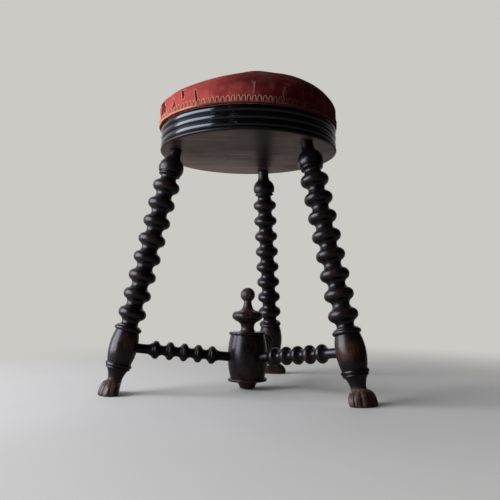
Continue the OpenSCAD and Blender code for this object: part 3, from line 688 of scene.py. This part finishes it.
def ebonised(name, grain_scale=(1, 1, 0.09), warmth=0.5, gloss=0.42):
    """Black-brown polish over brown wood: it thins on what is rubbed, and is bare on the paws."""
    s = Shader(name)
    place = s.attribute("grain_place", "Vector")
    worn = s.attribute("worn")
    bare = s.attribute("bare")
    streaks = s.noise(s.stretch(place, grain_scale), 420, 5, 0.6, 0.6)
    patches = s.noise(place, 26, 4, 0.6)
    flecks = s.noise(place, 160, 3, 0.7)
    polish = s.tones(streaks, (0.003, 0.0018, 0.0023), (0.013, 0.0075, 0.0075), 0.3, 0.75)
    brown = s.tones(streaks, (0.04, 0.016, 0.009), (0.17, 0.075, 0.04), 0.25, 0.75)
    foot_wood = s.tones(streaks, (0.028, 0.015, 0.01), (0.19, 0.112, 0.079), 0.25, 0.75)
    thinned = s.plus(patches, s.times(worn, 0.13))
    rubbed = s.times(worn, s.span(thinned, 0.46, 0.68))
    colour = s.mix(s.times(rubbed, warmth), polish, brown)
    foot_share = s.times(bare, s.span(patches, 0.28, 0.6, 0.55, 1.0))
    colour = s.mix(foot_share, colour, foot_wood)
    colour = s.mix(s.span(flecks, 0.6, 0.8, 0.0, 0.12), colour, (0.11, 0.1, 0.095))
    rough = s.plus(s.span(patches, 0.3, 0.7, 0.26, 0.36), s.times(foot_share, 0.16))
    rough = s.plus(rough, s.span(flecks, 0.45, 0.75, 0.0, 0.05))
    rough = s.minus(rough, s.times(worn, 0.06))
    normal = s.bump(patches, 0.1, 0.0012, s.bump(streaks, 0.04, 0.0005))
    return s.finish(colour, rough, normal, Specular_IOR_Level=gloss, Specular_Tint=(0.93, 0.91, 1.0, 1))


def board_wood(name):
    """The fixed board: grain across the camera's view, painted shade darkening its front, a painted
    reflection lightening its left rear, and a painted shadow and reflection of the rear leg.
    """
    s = Shader(name)
    place = s.attribute("grain_place", "Vector")
    turning = {"Vector": place, "Rotation": (0, 0, -math.radians(VIEW_TURN))}
    turned = s.node("ShaderNodeMapping", turning).outputs["Vector"]
    across = s.stretch(turned, (0.06, 1, 1))
    grain = s.noise(across, 150, 6, 0.65, 0.9)
    bands = s.noise(across, 34, 3, 0.5, 0.4)
    blotches = s.noise(place, 16, 4, 0.6)
    cracks = s.noise(s.stretch(turned, (0.02, 1, 1)), 90, 2, 0.4, 0.2)
    dark = s.tones(bands, (0.028, 0.015, 0.012), (0.072, 0.043, 0.035))
    pale = s.tones(bands, (0.132, 0.086, 0.073), (0.245, 0.171, 0.15))
    colour = s.tones(grain, dark, pale, 0.4, 0.6)
    colour = s.mix(s.span(blotches, 0.5, 0.75, 0.0, 0.5), colour, (0.022, 0.016, 0.014))
    colour = s.mix(s.span(s.off(cracks, 0.5), 0.01, 0.0, 0.0, 0.8), colour, (0.008, 0.006, 0.005))
    knot = s.span(s.away(place, DARK_KNOT), 0.0042, 0.0018, 0.0, 0.85)
    colour = s.mix(knot, colour, (0.006, 0.004, 0.004))
    # Painted shade: the front of the underside, towards the camera, is darkened, most in the darker grain.
    front_shade = s.span(s.along(place, -VIEW_AHEAD), -0.06, 0.04, 0.0, 0.8)
    colour = s.mix(s.times(front_shade, s.span(grain, 0.65, 0.38, 0.5, 1.0)), colour, (0.026, 0.017, 0.013))
    # Painted reflection: the left rear of the underside is lightened, most in the paler grain, as if it
    # reflected the pale wall behind.
    to_left_rear = VIEW_AHEAD * 0.9 - VIEW_RIGHT * 0.42
    rear_reflection = s.span(s.along(place, to_left_rear), 0.02, 0.15, 0.0, 0.75)
    colour = s.mix(s.times(rear_reflection, s.span(grain, 0.35, 0.62, 0.55, 1.0)), colour, (0.62, 0.48, 0.42))
    # Painted shadow and reflection of the rear leg: a dark band across the underside in front of it.
    shadow_band = s.span(s.off(s.along(place, SHADOW_BAND_ACROSS), SHADOW_BAND_OFFSET * MM), 0.021, 0.005)
    colour = s.mix(s.times(shadow_band, s.span(bands, 0.2, 0.6, 0.55, 0.85)), colour, (0.006, 0.003, 0.002))
    colour = s.mix(s.attribute("bare"), (0.006, 0.004, 0.004), colour)
    rough = s.span(blotches, 0.3, 0.7, 0.32, 0.44)
    normal = s.bump(grain, 0.6, 0.0006)
    return s.finish(colour, rough, normal, Specular_IOR_Level=0.34, Specular_Tint=(1.0, 0.86, 0.81, 1))


def rim_wood(name):
    """The reeded rim: the blackest polish, with scuffs along the reeds."""
    s = Shader(name)
    place = s.attribute("grain_place", "Vector")
    streaks = s.noise(s.stretch(place, (1, 1, 6)), 70, 5, 0.6, 0.5)
    patches = s.noise(place, 30, 4, 0.6)
    scuffs = s.noise(s.stretch(place, (1, 1, 2.5)), 75, 6, 0.72, 1.2)
    scuff = s.span(s.plus(scuffs, s.times(s.attribute("worn"), 0.13)), 0.64, 0.76)
    colour = s.tones(streaks, (0.0012, 0.0012, 0.002), (0.004, 0.0035, 0.004))
    colour = s.mix(s.times(scuff, 0.8), colour, (0.08, 0.064, 0.058))
    rough = s.plus(s.span(patches, 0.3, 0.7, 0.12, 0.2), s.times(scuff, 0.2))
    normal = s.bump(scuffs, 0.2, 0.0006, s.bump(streaks, 0.12, 0.0004))
    return s.finish(colour, rough, normal, Specular_IOR_Level=0.7, Specular_Tint=(0.8, 0.88, 1.0, 1))


def cover_cloth(name):
    """Worn red cloth: paler towards the left and deeper towards the right, partly sun-fading and partly
    painted light and shade; torn open in places, with pale rubbed creases.
    """
    s = Shader(name)
    place = s.attribute("grain_place", "Vector")
    blotches = s.noise(place, 22, 5, 0.6)
    wear = s.noise(s.stretch(place, (1, 1, 0.6)), 70, 4, 0.65)
    fuzz = s.noise(place, 1500, 2, 0.6)
    weave = s.noise(s.stretch(place, (1, 1, 0.35)), 900, 2, 0.5)
    threads = s.noise(s.stretch(place, (1, 1, 0.5)), 420, 3, 0.6)
    # Painted light and shade, together with real fading: the red is deep and shaded on the right and paler
    # and lit on the left.
    deep_and_shaded = s.tones(blotches, (0.12, 0.009, 0.011), (0.18, 0.016, 0.018))
    red = s.tones(blotches, (0.4, 0.058, 0.052), (0.54, 0.088, 0.074))
    faded = s.plus(s.attribute("faded"), s.span(blotches, 0.3, 0.7, -0.09, 0.09))
    colour = s.tones(faded, deep_and_shaded, red, 0.36, 0.76)
    colour = s.mix(s.span(wear, 0.48, 0.68, 0.0, 0.4), colour, (0.36, 0.125, 0.06))
    colour = s.mix(s.span(wear, 0.36, 0.22, 0.0, 0.5), colour, (0.07, 0.02, 0.016))
    colour = s.mix(s.span(weave, 0.3, 0.7, 0.0, 0.3), colour, (0.05, 0.008, 0.01))
    near_rub = s.span(s.away(place, RUBBED_PLACE), 0.03, 0.006, 0.0, 0.55)
    colour = s.mix(s.times(near_rub, s.span(wear, 0.35, 0.6)), colour, (0.1, 0.06, 0.035))
    off_crease = s.plus(s.attribute("crease_away"), s.times(wear, 0.0015))
    colour = s.mix(s.span(off_crease, 0.0022, 0.0006, 0.0, 0.6), colour, (0.62, 0.3, 0.25))
    off_tear = s.plus(s.attribute("torn_away"), s.times(s.minus(wear, 0.5), 0.004))
    colour = s.mix(s.span(s.off(off_tear, 0.0011), 0.0012, 0.0, 0.0, 0.5), colour, (0.6, 0.27, 0.22))
    inside = s.tones(threads, (0.03, 0.004, 0.004), (0.19, 0.034, 0.03), 0.42, 0.62)
    colour = s.mix(s.span(off_tear, 0.0004, -0.0003), colour, inside)
    normal = s.bump(fuzz, 0.35, 0.0004, s.bump(weave, 0.4, 0.0004, s.bump(wear, 0.25, 0.0012)))
    return s.finish(colour, 0.92, normal, Specular_IOR_Level=0.1)


def braid_cord(name):
    """Salmon-pink braided cord, darkened with painted shade away from the window, and soiled at random."""
    s = Shader(name)
    place = s.attribute("grain_place", "Vector")
    strands = s.noise(place, 700, 3, 0.6)
    soil = s.noise(place, 30, 4, 0.6)
    # Painted shade: a dark copy of the cord's colour, used away from the window, and its fresh colour.
    shaded_and_soiled = s.tones(strands, (0.1, 0.012, 0.012), (0.17, 0.03, 0.025))
    fresh = s.tones(strands, (0.5, 0.2, 0.12), (0.8, 0.4, 0.26))
    clean_and_lit = s.plus(s.attribute("faded"), s.span(soil, 0.3, 0.7, -0.12, 0.12))
    colour = s.tones(clean_and_lit, shaded_and_soiled, fresh, 0.0, 1.0)
    return s.finish(colour, 0.85, s.bump(strands, 0.6, 0.0005), Specular_IOR_Level=0.25, Sheen_Weight=0.2)


def plain_stuff(name, dark, pale, scale, roughness, metallic):
    """Material of the pieces inside: two tones of one stuff, with a light bump."""
    s = Shader(name)
    grain = s.noise(s.node("ShaderNodeTexCoord").outputs["Object"], scale, 5, 0.6)
    rough = s.span(grain, 0.3, 0.7, roughness, roughness + 0.15)
    return s.finish(s.tones(grain, dark, pale), rough, s.bump(grain, 0.3, 0.0005), Metallic=metallic)


def dress(piece, material, body, slot, *replaced):
    """Gives a piece its material and body, and hides the nodes that it stands for; slot is not used."""
    piece.data.materials.clear()
    piece.data.materials.append(material)
    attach(piece, body)
    if replaced:
        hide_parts(*replaced)


# Cushion

def lean_to_right(turn):
    """1 on the photograph's right, -1 on its left."""
    return np.cos(turn - math.radians(VIEW_TURN))


def side_radius(turn, share):
    """Radius of the cushion's side at a share of the way up from the hem to the fullest line."""
    return CUSHION_RADIUS - 1.2 * lean_to_right(turn) - CUSHION_DRAW * (1 - share) ** 2


def crown_height(turn, rho):
    """Height of the crown at a share of the radius: the left half has sunk, the right is full."""
    lean = lean_to_right(turn)
    rise = (CROWN - SWELL) * np.maximum(0.0, 1 - rho ** (3.02 + 1.1 * lean)) ** (1 / (1.4 - 0.07 * lean))
    return SWELL + rise + 20.5 * lean * rho * (1 - rho)


def cushion_profile(turn, count=150):
    """Points [radius, height, cloth up from the hem], evenly from crown to hem."""
    rho = np.sin(np.linspace(0, math.pi / 2, 200))
    share = np.linspace(0.97, 0, 30)
    radii = np.concatenate([side_radius(turn, 1.0) * rho, side_radius(turn, share)])
    heights = np.concatenate([crown_height(turn, rho), HEM + share * (SWELL - HEM)])
    shoulder = np.exp(-(((heights - SHOULDER_HEIGHT) / 9) ** 2)) * (radii / CUSHION_RADIUS) ** 6
    radii = radii + SHOULDER_SWELL * max(0.0, -lean_to_right(turn)) ** 2 * shoulder
    run = np.concatenate([[0], np.cumsum(np.hypot(np.diff(radii), np.diff(heights)))])
    at = np.linspace(0, run[-1], count)
    return np.stack([np.interp(at, run, radii), np.interp(at, run, heights), run[-1] - at], 1)


def disc_grid(cells):
    """A square grid of quads laid over a disc: each point's share of the radius and turn."""
    line = np.linspace(-1, 1, cells + 1)
    x, y = np.meshgrid(line, line)
    wide = np.abs(x) >= np.abs(y)
    share = np.where(wide, np.abs(x), np.abs(y))
    safe_x = np.where(x == 0, 1, x)
    safe_y = np.where(y == 0, 1, y)
    turn_wide = math.pi / 4 * y / safe_x + np.where(x > 0, 0, math.pi)
    turn_tall = math.pi / 2 - math.pi / 4 * x / safe_y + np.where(y > 0, 0, math.pi)
    turn = np.where(wide, turn_wide, turn_tall) % (2 * math.pi)
    index = np.arange(share.size).reshape(share.shape)
    corners = [index[:-1, :-1], index[:-1, 1:], index[1:, 1:], index[1:, :-1]]
    faces = np.stack([c.ravel() for c in corners], 1)
    return share, turn, faces


def cover_places(share, turn, turns=240):
    """Places on the cover, and the length of cloth from each down to the hem."""
    table = np.stack([cushion_profile(2 * math.pi * k / turns) for k in range(turns)])
    count = table.shape[1]
    across = turn / (2 * math.pi) * turns
    low = np.floor(across).astype(int)
    down = share * (count - 1)
    near = np.minimum(np.floor(down).astype(int), count - 2)
    u = (across - low)[..., None]
    v = (down - near)[..., None]
    found = (
        (1 - u) * ((1 - v) * table[low % turns, near] + v * table[low % turns, near + 1])
        + u * ((1 - v) * table[(low + 1) % turns, near] + v * table[(low + 1) % turns, near + 1])
    )
    radius, height, run = np.moveaxis(found, -1, 0)
    return np.stack([radius * np.cos(turn), radius * np.sin(turn), height], -1), run


def blown_up(places, share, faces):
    """How far, in mm, simulated air inside the cover moves each of its points."""
    middle = np.array([0, 0, HEM])
    start = middle + (places - middle) * np.array([0.985, 0.985, 0.965])
    held = share > 0.94
    start[held] = places[held]
    mesh = bpy.data.meshes.new("cloth_trial")
    mesh.from_pydata([tuple(p * MM) for p in start.reshape(-1, 3)], [], faces.tolist())
    trial = add_object("cloth_trial", mesh)
    group = trial.vertex_groups.new(name="held")
    group.add(np.flatnonzero(held).tolist(), 1.0, "REPLACE")
    cloth = trial.modifiers.new("cloth", "CLOTH")
    for key, value in CLOTH_SETTINGS.items():
        setattr(cloth.settings, key, value)
    cloth.settings.vertex_group_mass = "held"
    cloth.settings.effector_weights.gravity = 0
    cloth.point_cache.frame_start = 1
    cloth.point_cache.frame_end = CLOTH_FRAMES
    for number in range(1, CLOTH_FRAMES + 1):
        bpy.context.scene.frame_set(number)
    shown = trial.evaluated_get(bpy.context.evaluated_depsgraph_get())
    moved = np.empty(len(mesh.vertices) * 3)
    shown.data.vertices.foreach_get("co", moved)
    bpy.data.objects.remove(trial)
    bpy.data.meshes.remove(mesh)
    bpy.context.scene.frame_set(1)
    step = moved.reshape(places.shape) / MM - places
    far = np.linalg.norm(step, axis=-1, keepdims=True)
    return step * np.minimum(far, CLOTH_CAP) / np.maximum(far, 1e-6)


def refined(grid, times):
    """A grid of values with (times - 1) new rows and columns between each two."""
    for axis in (0, 1):
        grid = np.moveaxis(grid, axis, 0)
        padded = np.concatenate([2 * grid[:1] - grid[1:2], grid, 2 * grid[-1:] - grid[-2:-1]])
        at = np.arange((len(grid) - 1) * times + 1) / times
        k = np.minimum(at.astype(int), len(grid) - 2)
        t = (at - k).reshape(-1, *[1] * (grid.ndim - 1))
        p0, p1, p2, p3 = padded[k], padded[k + 1], padded[k + 2], padded[k + 3]
        grid = np.moveaxis(on_curve(t, p1, p2, (p2 - p0) / 2, (p3 - p1) / 2), 0, axis)
    return grid


def away_from_line(u, v, line):
    """Distance from each (u, v) to a bent line of points."""
    best = np.full(u.shape, 1e3)
    for (ax, ay), (bx, by) in zip(line, line[1:]):
        dx, dy = bx - ax, by - ay
        t = np.clip(((u - ax) * dx + (v - ay) * dy) / (dx * dx + dy * dy), 0, 1)
        best = np.minimum(best, np.hypot(u - ax - t * dx, v - ay - t * dy))
    return best


def away_from_shape(u, v, outline):
    """Distance from each (u, v) to a closed outline, negative inside it."""
    closed = outline + outline[:1]
    inside = np.zeros(u.shape, bool)
    for (ax, ay), (bx, by) in zip(closed, closed[1:]):
        crosses = (ay > v) != (by > v)
        at = ax + (v - ay) * (bx - ax) / (by - ay if by != ay else 1)
        inside ^= crosses & (u < at)
    return np.where(inside, -1, 1) * away_from_line(u, v, closed)


def away_from_marks(turn, run, marks, away):
    """Distance along the cloth to the nearest of some tears or creases."""
    best = np.full(turn.shape, 1e3)
    for middle, points in marks:
        off = (turn - math.radians(middle) + math.pi) % (2 * math.pi) - math.pi
        best = np.minimum(best, away(off * CUSHION_RADIUS, run, points))
    return best


def lumps(places):
    """How far, in mm, the stuffing lifts the cover at each place."""
    lift = np.zeros(places.shape[:2])
    for i, j in np.ndindex(lift.shape):
        x, y, z = places[i, j]
        spot = Vector((x / 46, y / 46, z / 30))
        lift[i, j] = 1.1 * noise.noise(spot) + 0.45 * noise.noise(spot * 2.7)
    return lift


def closed_below(places, turn, faces):
    """The cover turned in at its hem and closed by a flat base."""
    vertices = [tuple(p) for p in places.reshape(-1, 3)]
    all_faces = faces.tolist()
    index = np.arange(turn.size).reshape(turn.shape)
    rim = [*index[0, :-1], *index[:-1, -1], *index[-1, :0:-1], *index[:0:-1, 0]]
    rim_turn = turn.ravel()[rim]
    for radius, height in ((COVER_INNER_RADIUS, HEM), (COVER_INNER_RADIUS, COVER_FLOOR), (40.0, COVER_FLOOR)):
        ring = list(range(len(vertices), len(vertices) + len(rim)))
        vertices += [(radius * math.cos(a), radius * math.sin(a), height) for a in rim_turn]
        for k in range(len(ring)):
            n = (k + 1) % len(ring)
            all_faces.append((int(rim[n]), int(rim[k]), ring[k], ring[n]))
        rim = ring
    all_faces.append(tuple(reversed(rim)))
    return vertices, all_faces


def make_cushion():
    """The stuffed seat: simulated cover, folds at its tacks, tears and creases."""
    share, turn, faces = disc_grid(COARSE_CELLS)
    places, run = cover_places(share, turn)
    step = blown_up(places, share, faces) * CLOTH_SHARE
    share, turn, faces = disc_grid(COARSE_CELLS * REFINING)
    places, run = cover_places(share, turn)
    places = places + refined(step, REFINING)
    outwards = np.stack([np.cos(turn), np.sin(turn), np.zeros(turn.shape)], -1)

    near_tack = np.cos(TACK_COUNT * turn) / 2 + 0.5
    fold = FOLD_DEPTH * np.exp(-((run / FOLD_LENGTH) ** 2)) * (1 - near_tack**3)
    lift = lumps(places) * np.clip(run / 25, 0, 1)
    places += outwards * (fold + lift * np.clip(share * 1.4 - 0.6, 0, 1))[..., None]
    places[..., 2] += lift * np.clip(1.3 - share, 0, 1)
    from_peak = np.hypot(places[..., 0] - PEAK_PLACE.x, places[..., 1] - PEAK_PLACE.y)
    places[..., 2] += PEAK_HEIGHT * np.exp(-((from_peak / PEAK_SPREAD) ** 2) / 2)

    torn = away_from_marks(turn, run, TEARS, away_from_shape)
    crease = away_from_marks(turn, run, CREASES, away_from_line)
    raised = 0.5 * np.exp(-((crease / 1.6) ** 2)) + 0.7 * np.exp(-(((torn - 1.0) / 1.3) ** 2))
    places += outwards * raised[..., None]
    places -= outwards * (1.2 * np.clip(-torn / 1.5, 0, 1))[..., None]

    vertices, faces = closed_below(places, turn, faces)
    # Painted light and shade, partly real fading: the cover is paler on the left, towards the window, and
    # darker on the right.
    fade = 0.5 - 0.5 * lean_to_right(turn) * np.clip(share * 1.5, 0, 1)
    marks = {"faded": (fade, 0.2), "torn_away": (torn * MM, 1.0), "crease_away": (crease * MM, 1.0)}
    for mark, (values, below) in marks.items():
        marks[mark] = np.append(values, np.full(len(vertices) - turn.size, below))
    return mesh_piece("stuffed_cushion", vertices, faces, sharp=70, **marks)


# Braid

def tube(points, radius, closed=False):
    """A round cord along a line of points."""
    count = len(points)
    vertices = []
    for k, p in enumerate(points):
        ahead = points[(k + 1) % count] if closed or k + 1 < count else p
        behind = points[k - 1] if closed or k > 0 else p
        along = (ahead - behind).normalized()
        out = Vector((p.x, p.y, 0)).normalized()
        side = along.cross(out)
        if side.length < 0.05:
            side = Vector((0, 0, 1))
        side.normalize()
        out = side.cross(along)
        for s in range(CORD_SIDES):
            a = 2 * math.pi * s / CORD_SIDES
            vertices.append(p + (side * math.cos(a) + out * math.sin(a)) * radius)
    return vertices, tube_faces(count, CORD_SIDES, closed)


def loop_tone(turn):
    """How pale the loops are at a turn in degrees: darkened with painted shade on the right, and by wear
    round the back.
    """
    if turn < 180:
        return max(0.3, ramp(turn, *BACK_LOOPS))
    return 0.12 + 0.88 * ramp(turn, *FRONT_LOOPS)


def hem_tone(turn):
    """The same for the hem's cords, which are pale only on the window side and darkened with painted shade
    elsewhere.
    """
    return ramp(turn, *(BACK_HEM if turn < 180 else FRONT_HEM))


def make_braid(cushion):
    """Looped braid round the hem: upright loops on two cords, laid on the cover."""
    points = [v.co for v in cushion.data.vertices]
    cover = BVHTree.FromPolygons(points, [p.vertices for p in cushion.data.polygons])
    vertices, faces, faded = [], [], []

    def on_cover(turn, height, proud):
        """The place that stands so far proud of the cover."""
        out = Vector((math.cos(turn), math.sin(turn), 0))
        hit = cover.ray_cast((out * 300 + Vector((0, 0, height))) * MM, -out)[0]
        return hit / MM + out * proud

    def add_cord(line, radius, tones, closed=False):
        """One cord, with how fresh it is at each point of its line."""
        first = len(vertices)
        cord_vertices, cord_faces = tube(line, radius, closed)
        vertices.extend(cord_vertices)
        faces.extend(tuple(first + i for i in face) for face in cord_faces)
        faded.extend(np.repeat(tones, CORD_SIDES))

    count = TACK_COUNT * LOOPS_PER_TACK
    pitch = 2 * math.pi / count
    for k in range(count):
        middle = (k + 0.5) * pitch
        tall = LOOP_TOP + 0.9 * noise.noise(Vector((k * 0.77, 0.3, 0)))
        half = pitch * (0.4 + 0.05 * noise.noise(Vector((k * 0.61, 2.1, 0))))
        skew = 0.14 * pitch * noise.noise(Vector((k * 0.93, 4.7, 0)))
        line = []
        for step in range(LOOP_STEPS + 1):
            a = math.pi * step / LOOP_STEPS
            foot = 0.86 + 0.14 * math.sin(a)
            height = LOOP_FOOT + (tall - LOOP_FOOT) * math.sin(a) ** 0.75
            turn = middle - half * math.cos(a) * foot + skew * math.sin(a)
            line.append(on_cover(turn, height, 0.35))
        add_cord(line, CORD_RADIUS, [loop_tone(math.degrees(middle))] * len(line))
    for over_hem, radius in HEM_CORDS:
        line = [on_cover(2 * math.pi * k / HEM_STEPS, HEM + over_hem, 0.3) for k in range(HEM_STEPS)]
        add_cord(line, radius, [hem_tone(360 * k / HEM_STEPS) for k in range(HEM_STEPS)], closed=True)
    return mesh_piece("looped_braid", vertices, faces, sharp=80, faded=faded)


# Studio

def make_floor():
    """Pale paper that fades into the wall's colour, and into its light behind."""
    mesh = bpy.data.meshes.new("studio_floor")
    turns = np.linspace(0, 2 * math.pi, FLOOR_CORNERS + 1)[:-1]
    corners = [(FLOOR_REACH * math.cos(a), FLOOR_REACH * math.sin(a), 0) for a in turns]
    mesh.from_pydata(corners, [], [tuple(range(FLOOR_CORNERS))])
    s = Shader("floor_paper")
    place = s.node("ShaderNodeTexCoord").outputs["Object"]
    seen = s.node("ShaderNodeLightPath").outputs["Is Camera Ray"]
    pale = s.tones(s.noise(place, 3.0, 3, 0.5), (0.82, 0.78, 0.73), (0.86, 0.82, 0.77))
    colour = s.mix(seen, (0.31, 0.27, 0.235), pale)
    mesh.materials.append(s.finish(colour, 0.8, s.bump(s.noise(place, 300, 2, 0.5), 0.1, 0.0005)))
    wall_colour = s.mix(seen, (0.68, 0.56, 0.51), WALL_COLOUR)
    wall = s.node("ShaderNodeEmission", {"Color": wall_colour}).outputs["Emission"]
    far = s.times(s.span(s.away(place, (0, 0, 0)), *FLOOR_FADE), seen)
    behind = s.span(s.along(place, VIEW_AHEAD), *WALL_FADE, 0.0, 0.33)
    sweep = s.blend(s.reckon("MAXIMUM", far, behind), s.surface.outputs["BSDF"], wall)
    s.put(s.tree.nodes["Material Output"].inputs["Surface"], sweep)
    floor = add_object("studio_floor", mesh)


def light_studio():
    """Pale walls behind and dimness in front; the camera sees the wall's colour."""
    world = bpy.data.worlds.new("studio")
    bpy.context.scene.world = world
    world.use_nodes = True
    world.node_tree.nodes.clear()
    s = Nodes(world.node_tree)
    pale_side = (VIEW_AHEAD * 0.8 - VIEW_RIGHT * 0.6).normalized()
    towards = s.along(s.node("ShaderNodeTexCoord").outputs["Generated"], pale_side)
    level = s.span(towards, -0.1, 0.95, 0.012, 0.75)
    lit = s.node("ShaderNodeBackground", {"Color": (0.95, 0.97, 1.0, 1), "Strength": level})
    wall = s.node("ShaderNodeBackground", {"Color": (*WALL_COLOUR, 1)})
    seen = s.node("ShaderNodeLightPath").outputs["Is Camera Ray"]
    both = s.blend(seen, lit.outputs["Background"], wall.outputs["Background"])
    s.node("ShaderNodeOutputWorld", {"Surface": both})


def light_window():
    """A tall cool window to the camera's left, which faces the stool."""
    data = bpy.data.lights.new("window_light", "AREA")
    data.shape = "RECTANGLE"
    data.size, data.size_y = WINDOW_SIZE
    data.energy = WINDOW_WATTS
    data.color = (0.86, 0.91, 1.0)
    lamp = add_object("window_light", data)
    a = math.radians(WINDOW_TURN)
    place = (-VIEW_AHEAD * math.cos(a) - VIEW_RIGHT * math.sin(a)) * WINDOW_AWAY
    place.z = WINDOW_MIDDLE
    aim = Vector((-place.x, -place.y, 0))
    lamp.matrix_world = Matrix.Translation(place) @ aim.to_track_quat("-Z", "Y").to_matrix().to_4x4()
    lamp.visible_camera = False


def place_camera():
    data = bpy.data.cameras.new("photo_camera")
    data.sensor_width = SENSOR_WIDTH
    data.lens = CAMERA_LENS
    data.clip_start = 0.01
    camera = add_object("photo_camera", data)
    camera.matrix_world = (
        Matrix.Translation(Vector(CAMERA_PLACE) * MM)
        @ Matrix.Rotation(math.radians(VIEW_TURN), 4, "Z")
        @ Matrix.Rotation(math.radians(90 + CAMERA_PITCH), 4, "X")
        @ Matrix.Rotation(math.radians(CAMERA_ROLL), 4, "Z")
    )
    bpy.context.scene.camera = camera


# The stool

def make_stand():
    """What stays still: legs, paws, stretchers, boss, finial and board."""
    polish = ebonised("ebonised_polish")
    boss_polish = ebonised("boss_polish", grain_scale=(1, 1, 0.12), warmth=0.6)
    for seed, side in enumerate(LEG_TURNS):
        dress(make_leg(side, 3.1 * seed), polish, "stand", "ebonised_wood", f"leg_{side}")
        dress(make_paw(side, 3.1 * seed), polish, "stand", "ebonised_wood")
        rail = make_stretcher(side, 7.7 * seed + 1)
        rail_polish = ebonised(f"rail_polish_{side}", gloss=RAIL_GLOSS[side])
        dress(rail, rail_polish, "stand", "ebonised_wood", f"stretcher_{side}")

    own, faces = lathe(boss_outline(), 128, rough=0.25, seed=5.5)
    boss = mesh_piece("turned_boss", own, faces, worn=0.4, bare=0.0)
    dress(boss, boss_polish, "stand", "ebonised_wood", "centre_boss")

    own, faces = lathe(finial_outline(), 96, rough=0.2, seed=8.5)
    ball_bottom = BOSS_MIDDLE + BOSS_HALF + BOSS_LIP + FINIAL_NECK + DISC_HEIGHT + STEM_LENGTH
    bare = 0.08 + 0.45 * ramp(own[:, 2], ball_bottom - 4.6, ball_bottom - 0.6)
    finial = mesh_piece("turned_finial", own, faces, worn=0.5, bare=bare)
    dress(finial, boss_polish, "stand", "ebonised_wood", "boss_finial")

    own, faces = lathe(board_outline(), 192)
    bare = ramp(np.hypot(own[:, 0], own[:, 1]), LIP_RADIUS - 1.6, LIP_RADIUS - 2.6)
    board = mesh_piece("stand_board", own, faces, bare=bare)
    dress(board, board_wood("dusty_board"), "stand", "board_wood", "base_board")


def make_seat():
    """What turns: the reeded rim, the cushion and its braid."""
    own, faces = lathe(rim_outline(), 288, rough=0.18, seed=2.5, closed=True)
    turn = np.degrees(np.arctan2(own[:, 1], own[:, 0])) % 360
    scuffed = sum(np.exp(-(((turn - middle) / wide) ** 2)) for middle, wide in SCUFFED_TURNS)
    rim = mesh_piece("reeded_rim", own, faces, worn=np.minimum(scuffed, 1))
    dress(rim, rim_wood("rim_polish"), "seat", "ebonised_wood", "seat_rim")

    cushion = make_cushion()
    braid = make_braid(cushion)
    cloth = cover_cloth("worn_red_cloth")
    dress(cushion, cloth, "seat", "red_cover", "seat_cover", "calico_lining", "stuffing")
    dress(braid, braid_cord("salmon_cord"), "seat", "salmon_braid", "gimp_braid")


def dress_hidden_pieces():
    """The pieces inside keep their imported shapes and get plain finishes."""
    pine = plain_stuff("bare_pine", (0.24, 0.15, 0.085), (0.36, 0.25, 0.15), 60, 0.6, 0.0)
    wedge = plain_stuff("wedge_wood", (0.17, 0.1, 0.05), (0.27, 0.17, 0.1), 160, 0.6, 0.0)
    iron = plain_stuff("dark_iron", (0.05, 0.045, 0.04), (0.13, 0.1, 0.085), 140, 0.5, 0.8)
    brass = plain_stuff("dull_brass", (0.3, 0.22, 0.09), (0.5, 0.4, 0.2), 120, 0.35, 1.0)
    steel = plain_stuff("dull_steel", (0.22, 0.215, 0.21), (0.4, 0.39, 0.38), 180, 0.35, 1.0)
    finishes = {
        "seat_board": pine, "leg_wedges": wedge, "pivot_plate": iron, "seat_plate": iron,
        "thrust_washer": brass, "pivot_plate_screws": steel, "pivot_spindle": steel,
        "spindle_washer": steel, "spindle_nut": steel, "seat_plate_screws": steel, "cover_tacks": steel,
    }
    for name, material in finishes.items():
        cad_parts[name].data.materials.clear()
        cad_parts[name].data.materials.append(material)


bpy.context.scene.view_settings.view_transform = "Standard"
place_camera()
light_studio()
light_window()
make_floor()
make_stand()
make_seat()
dress_hidden_pieces()
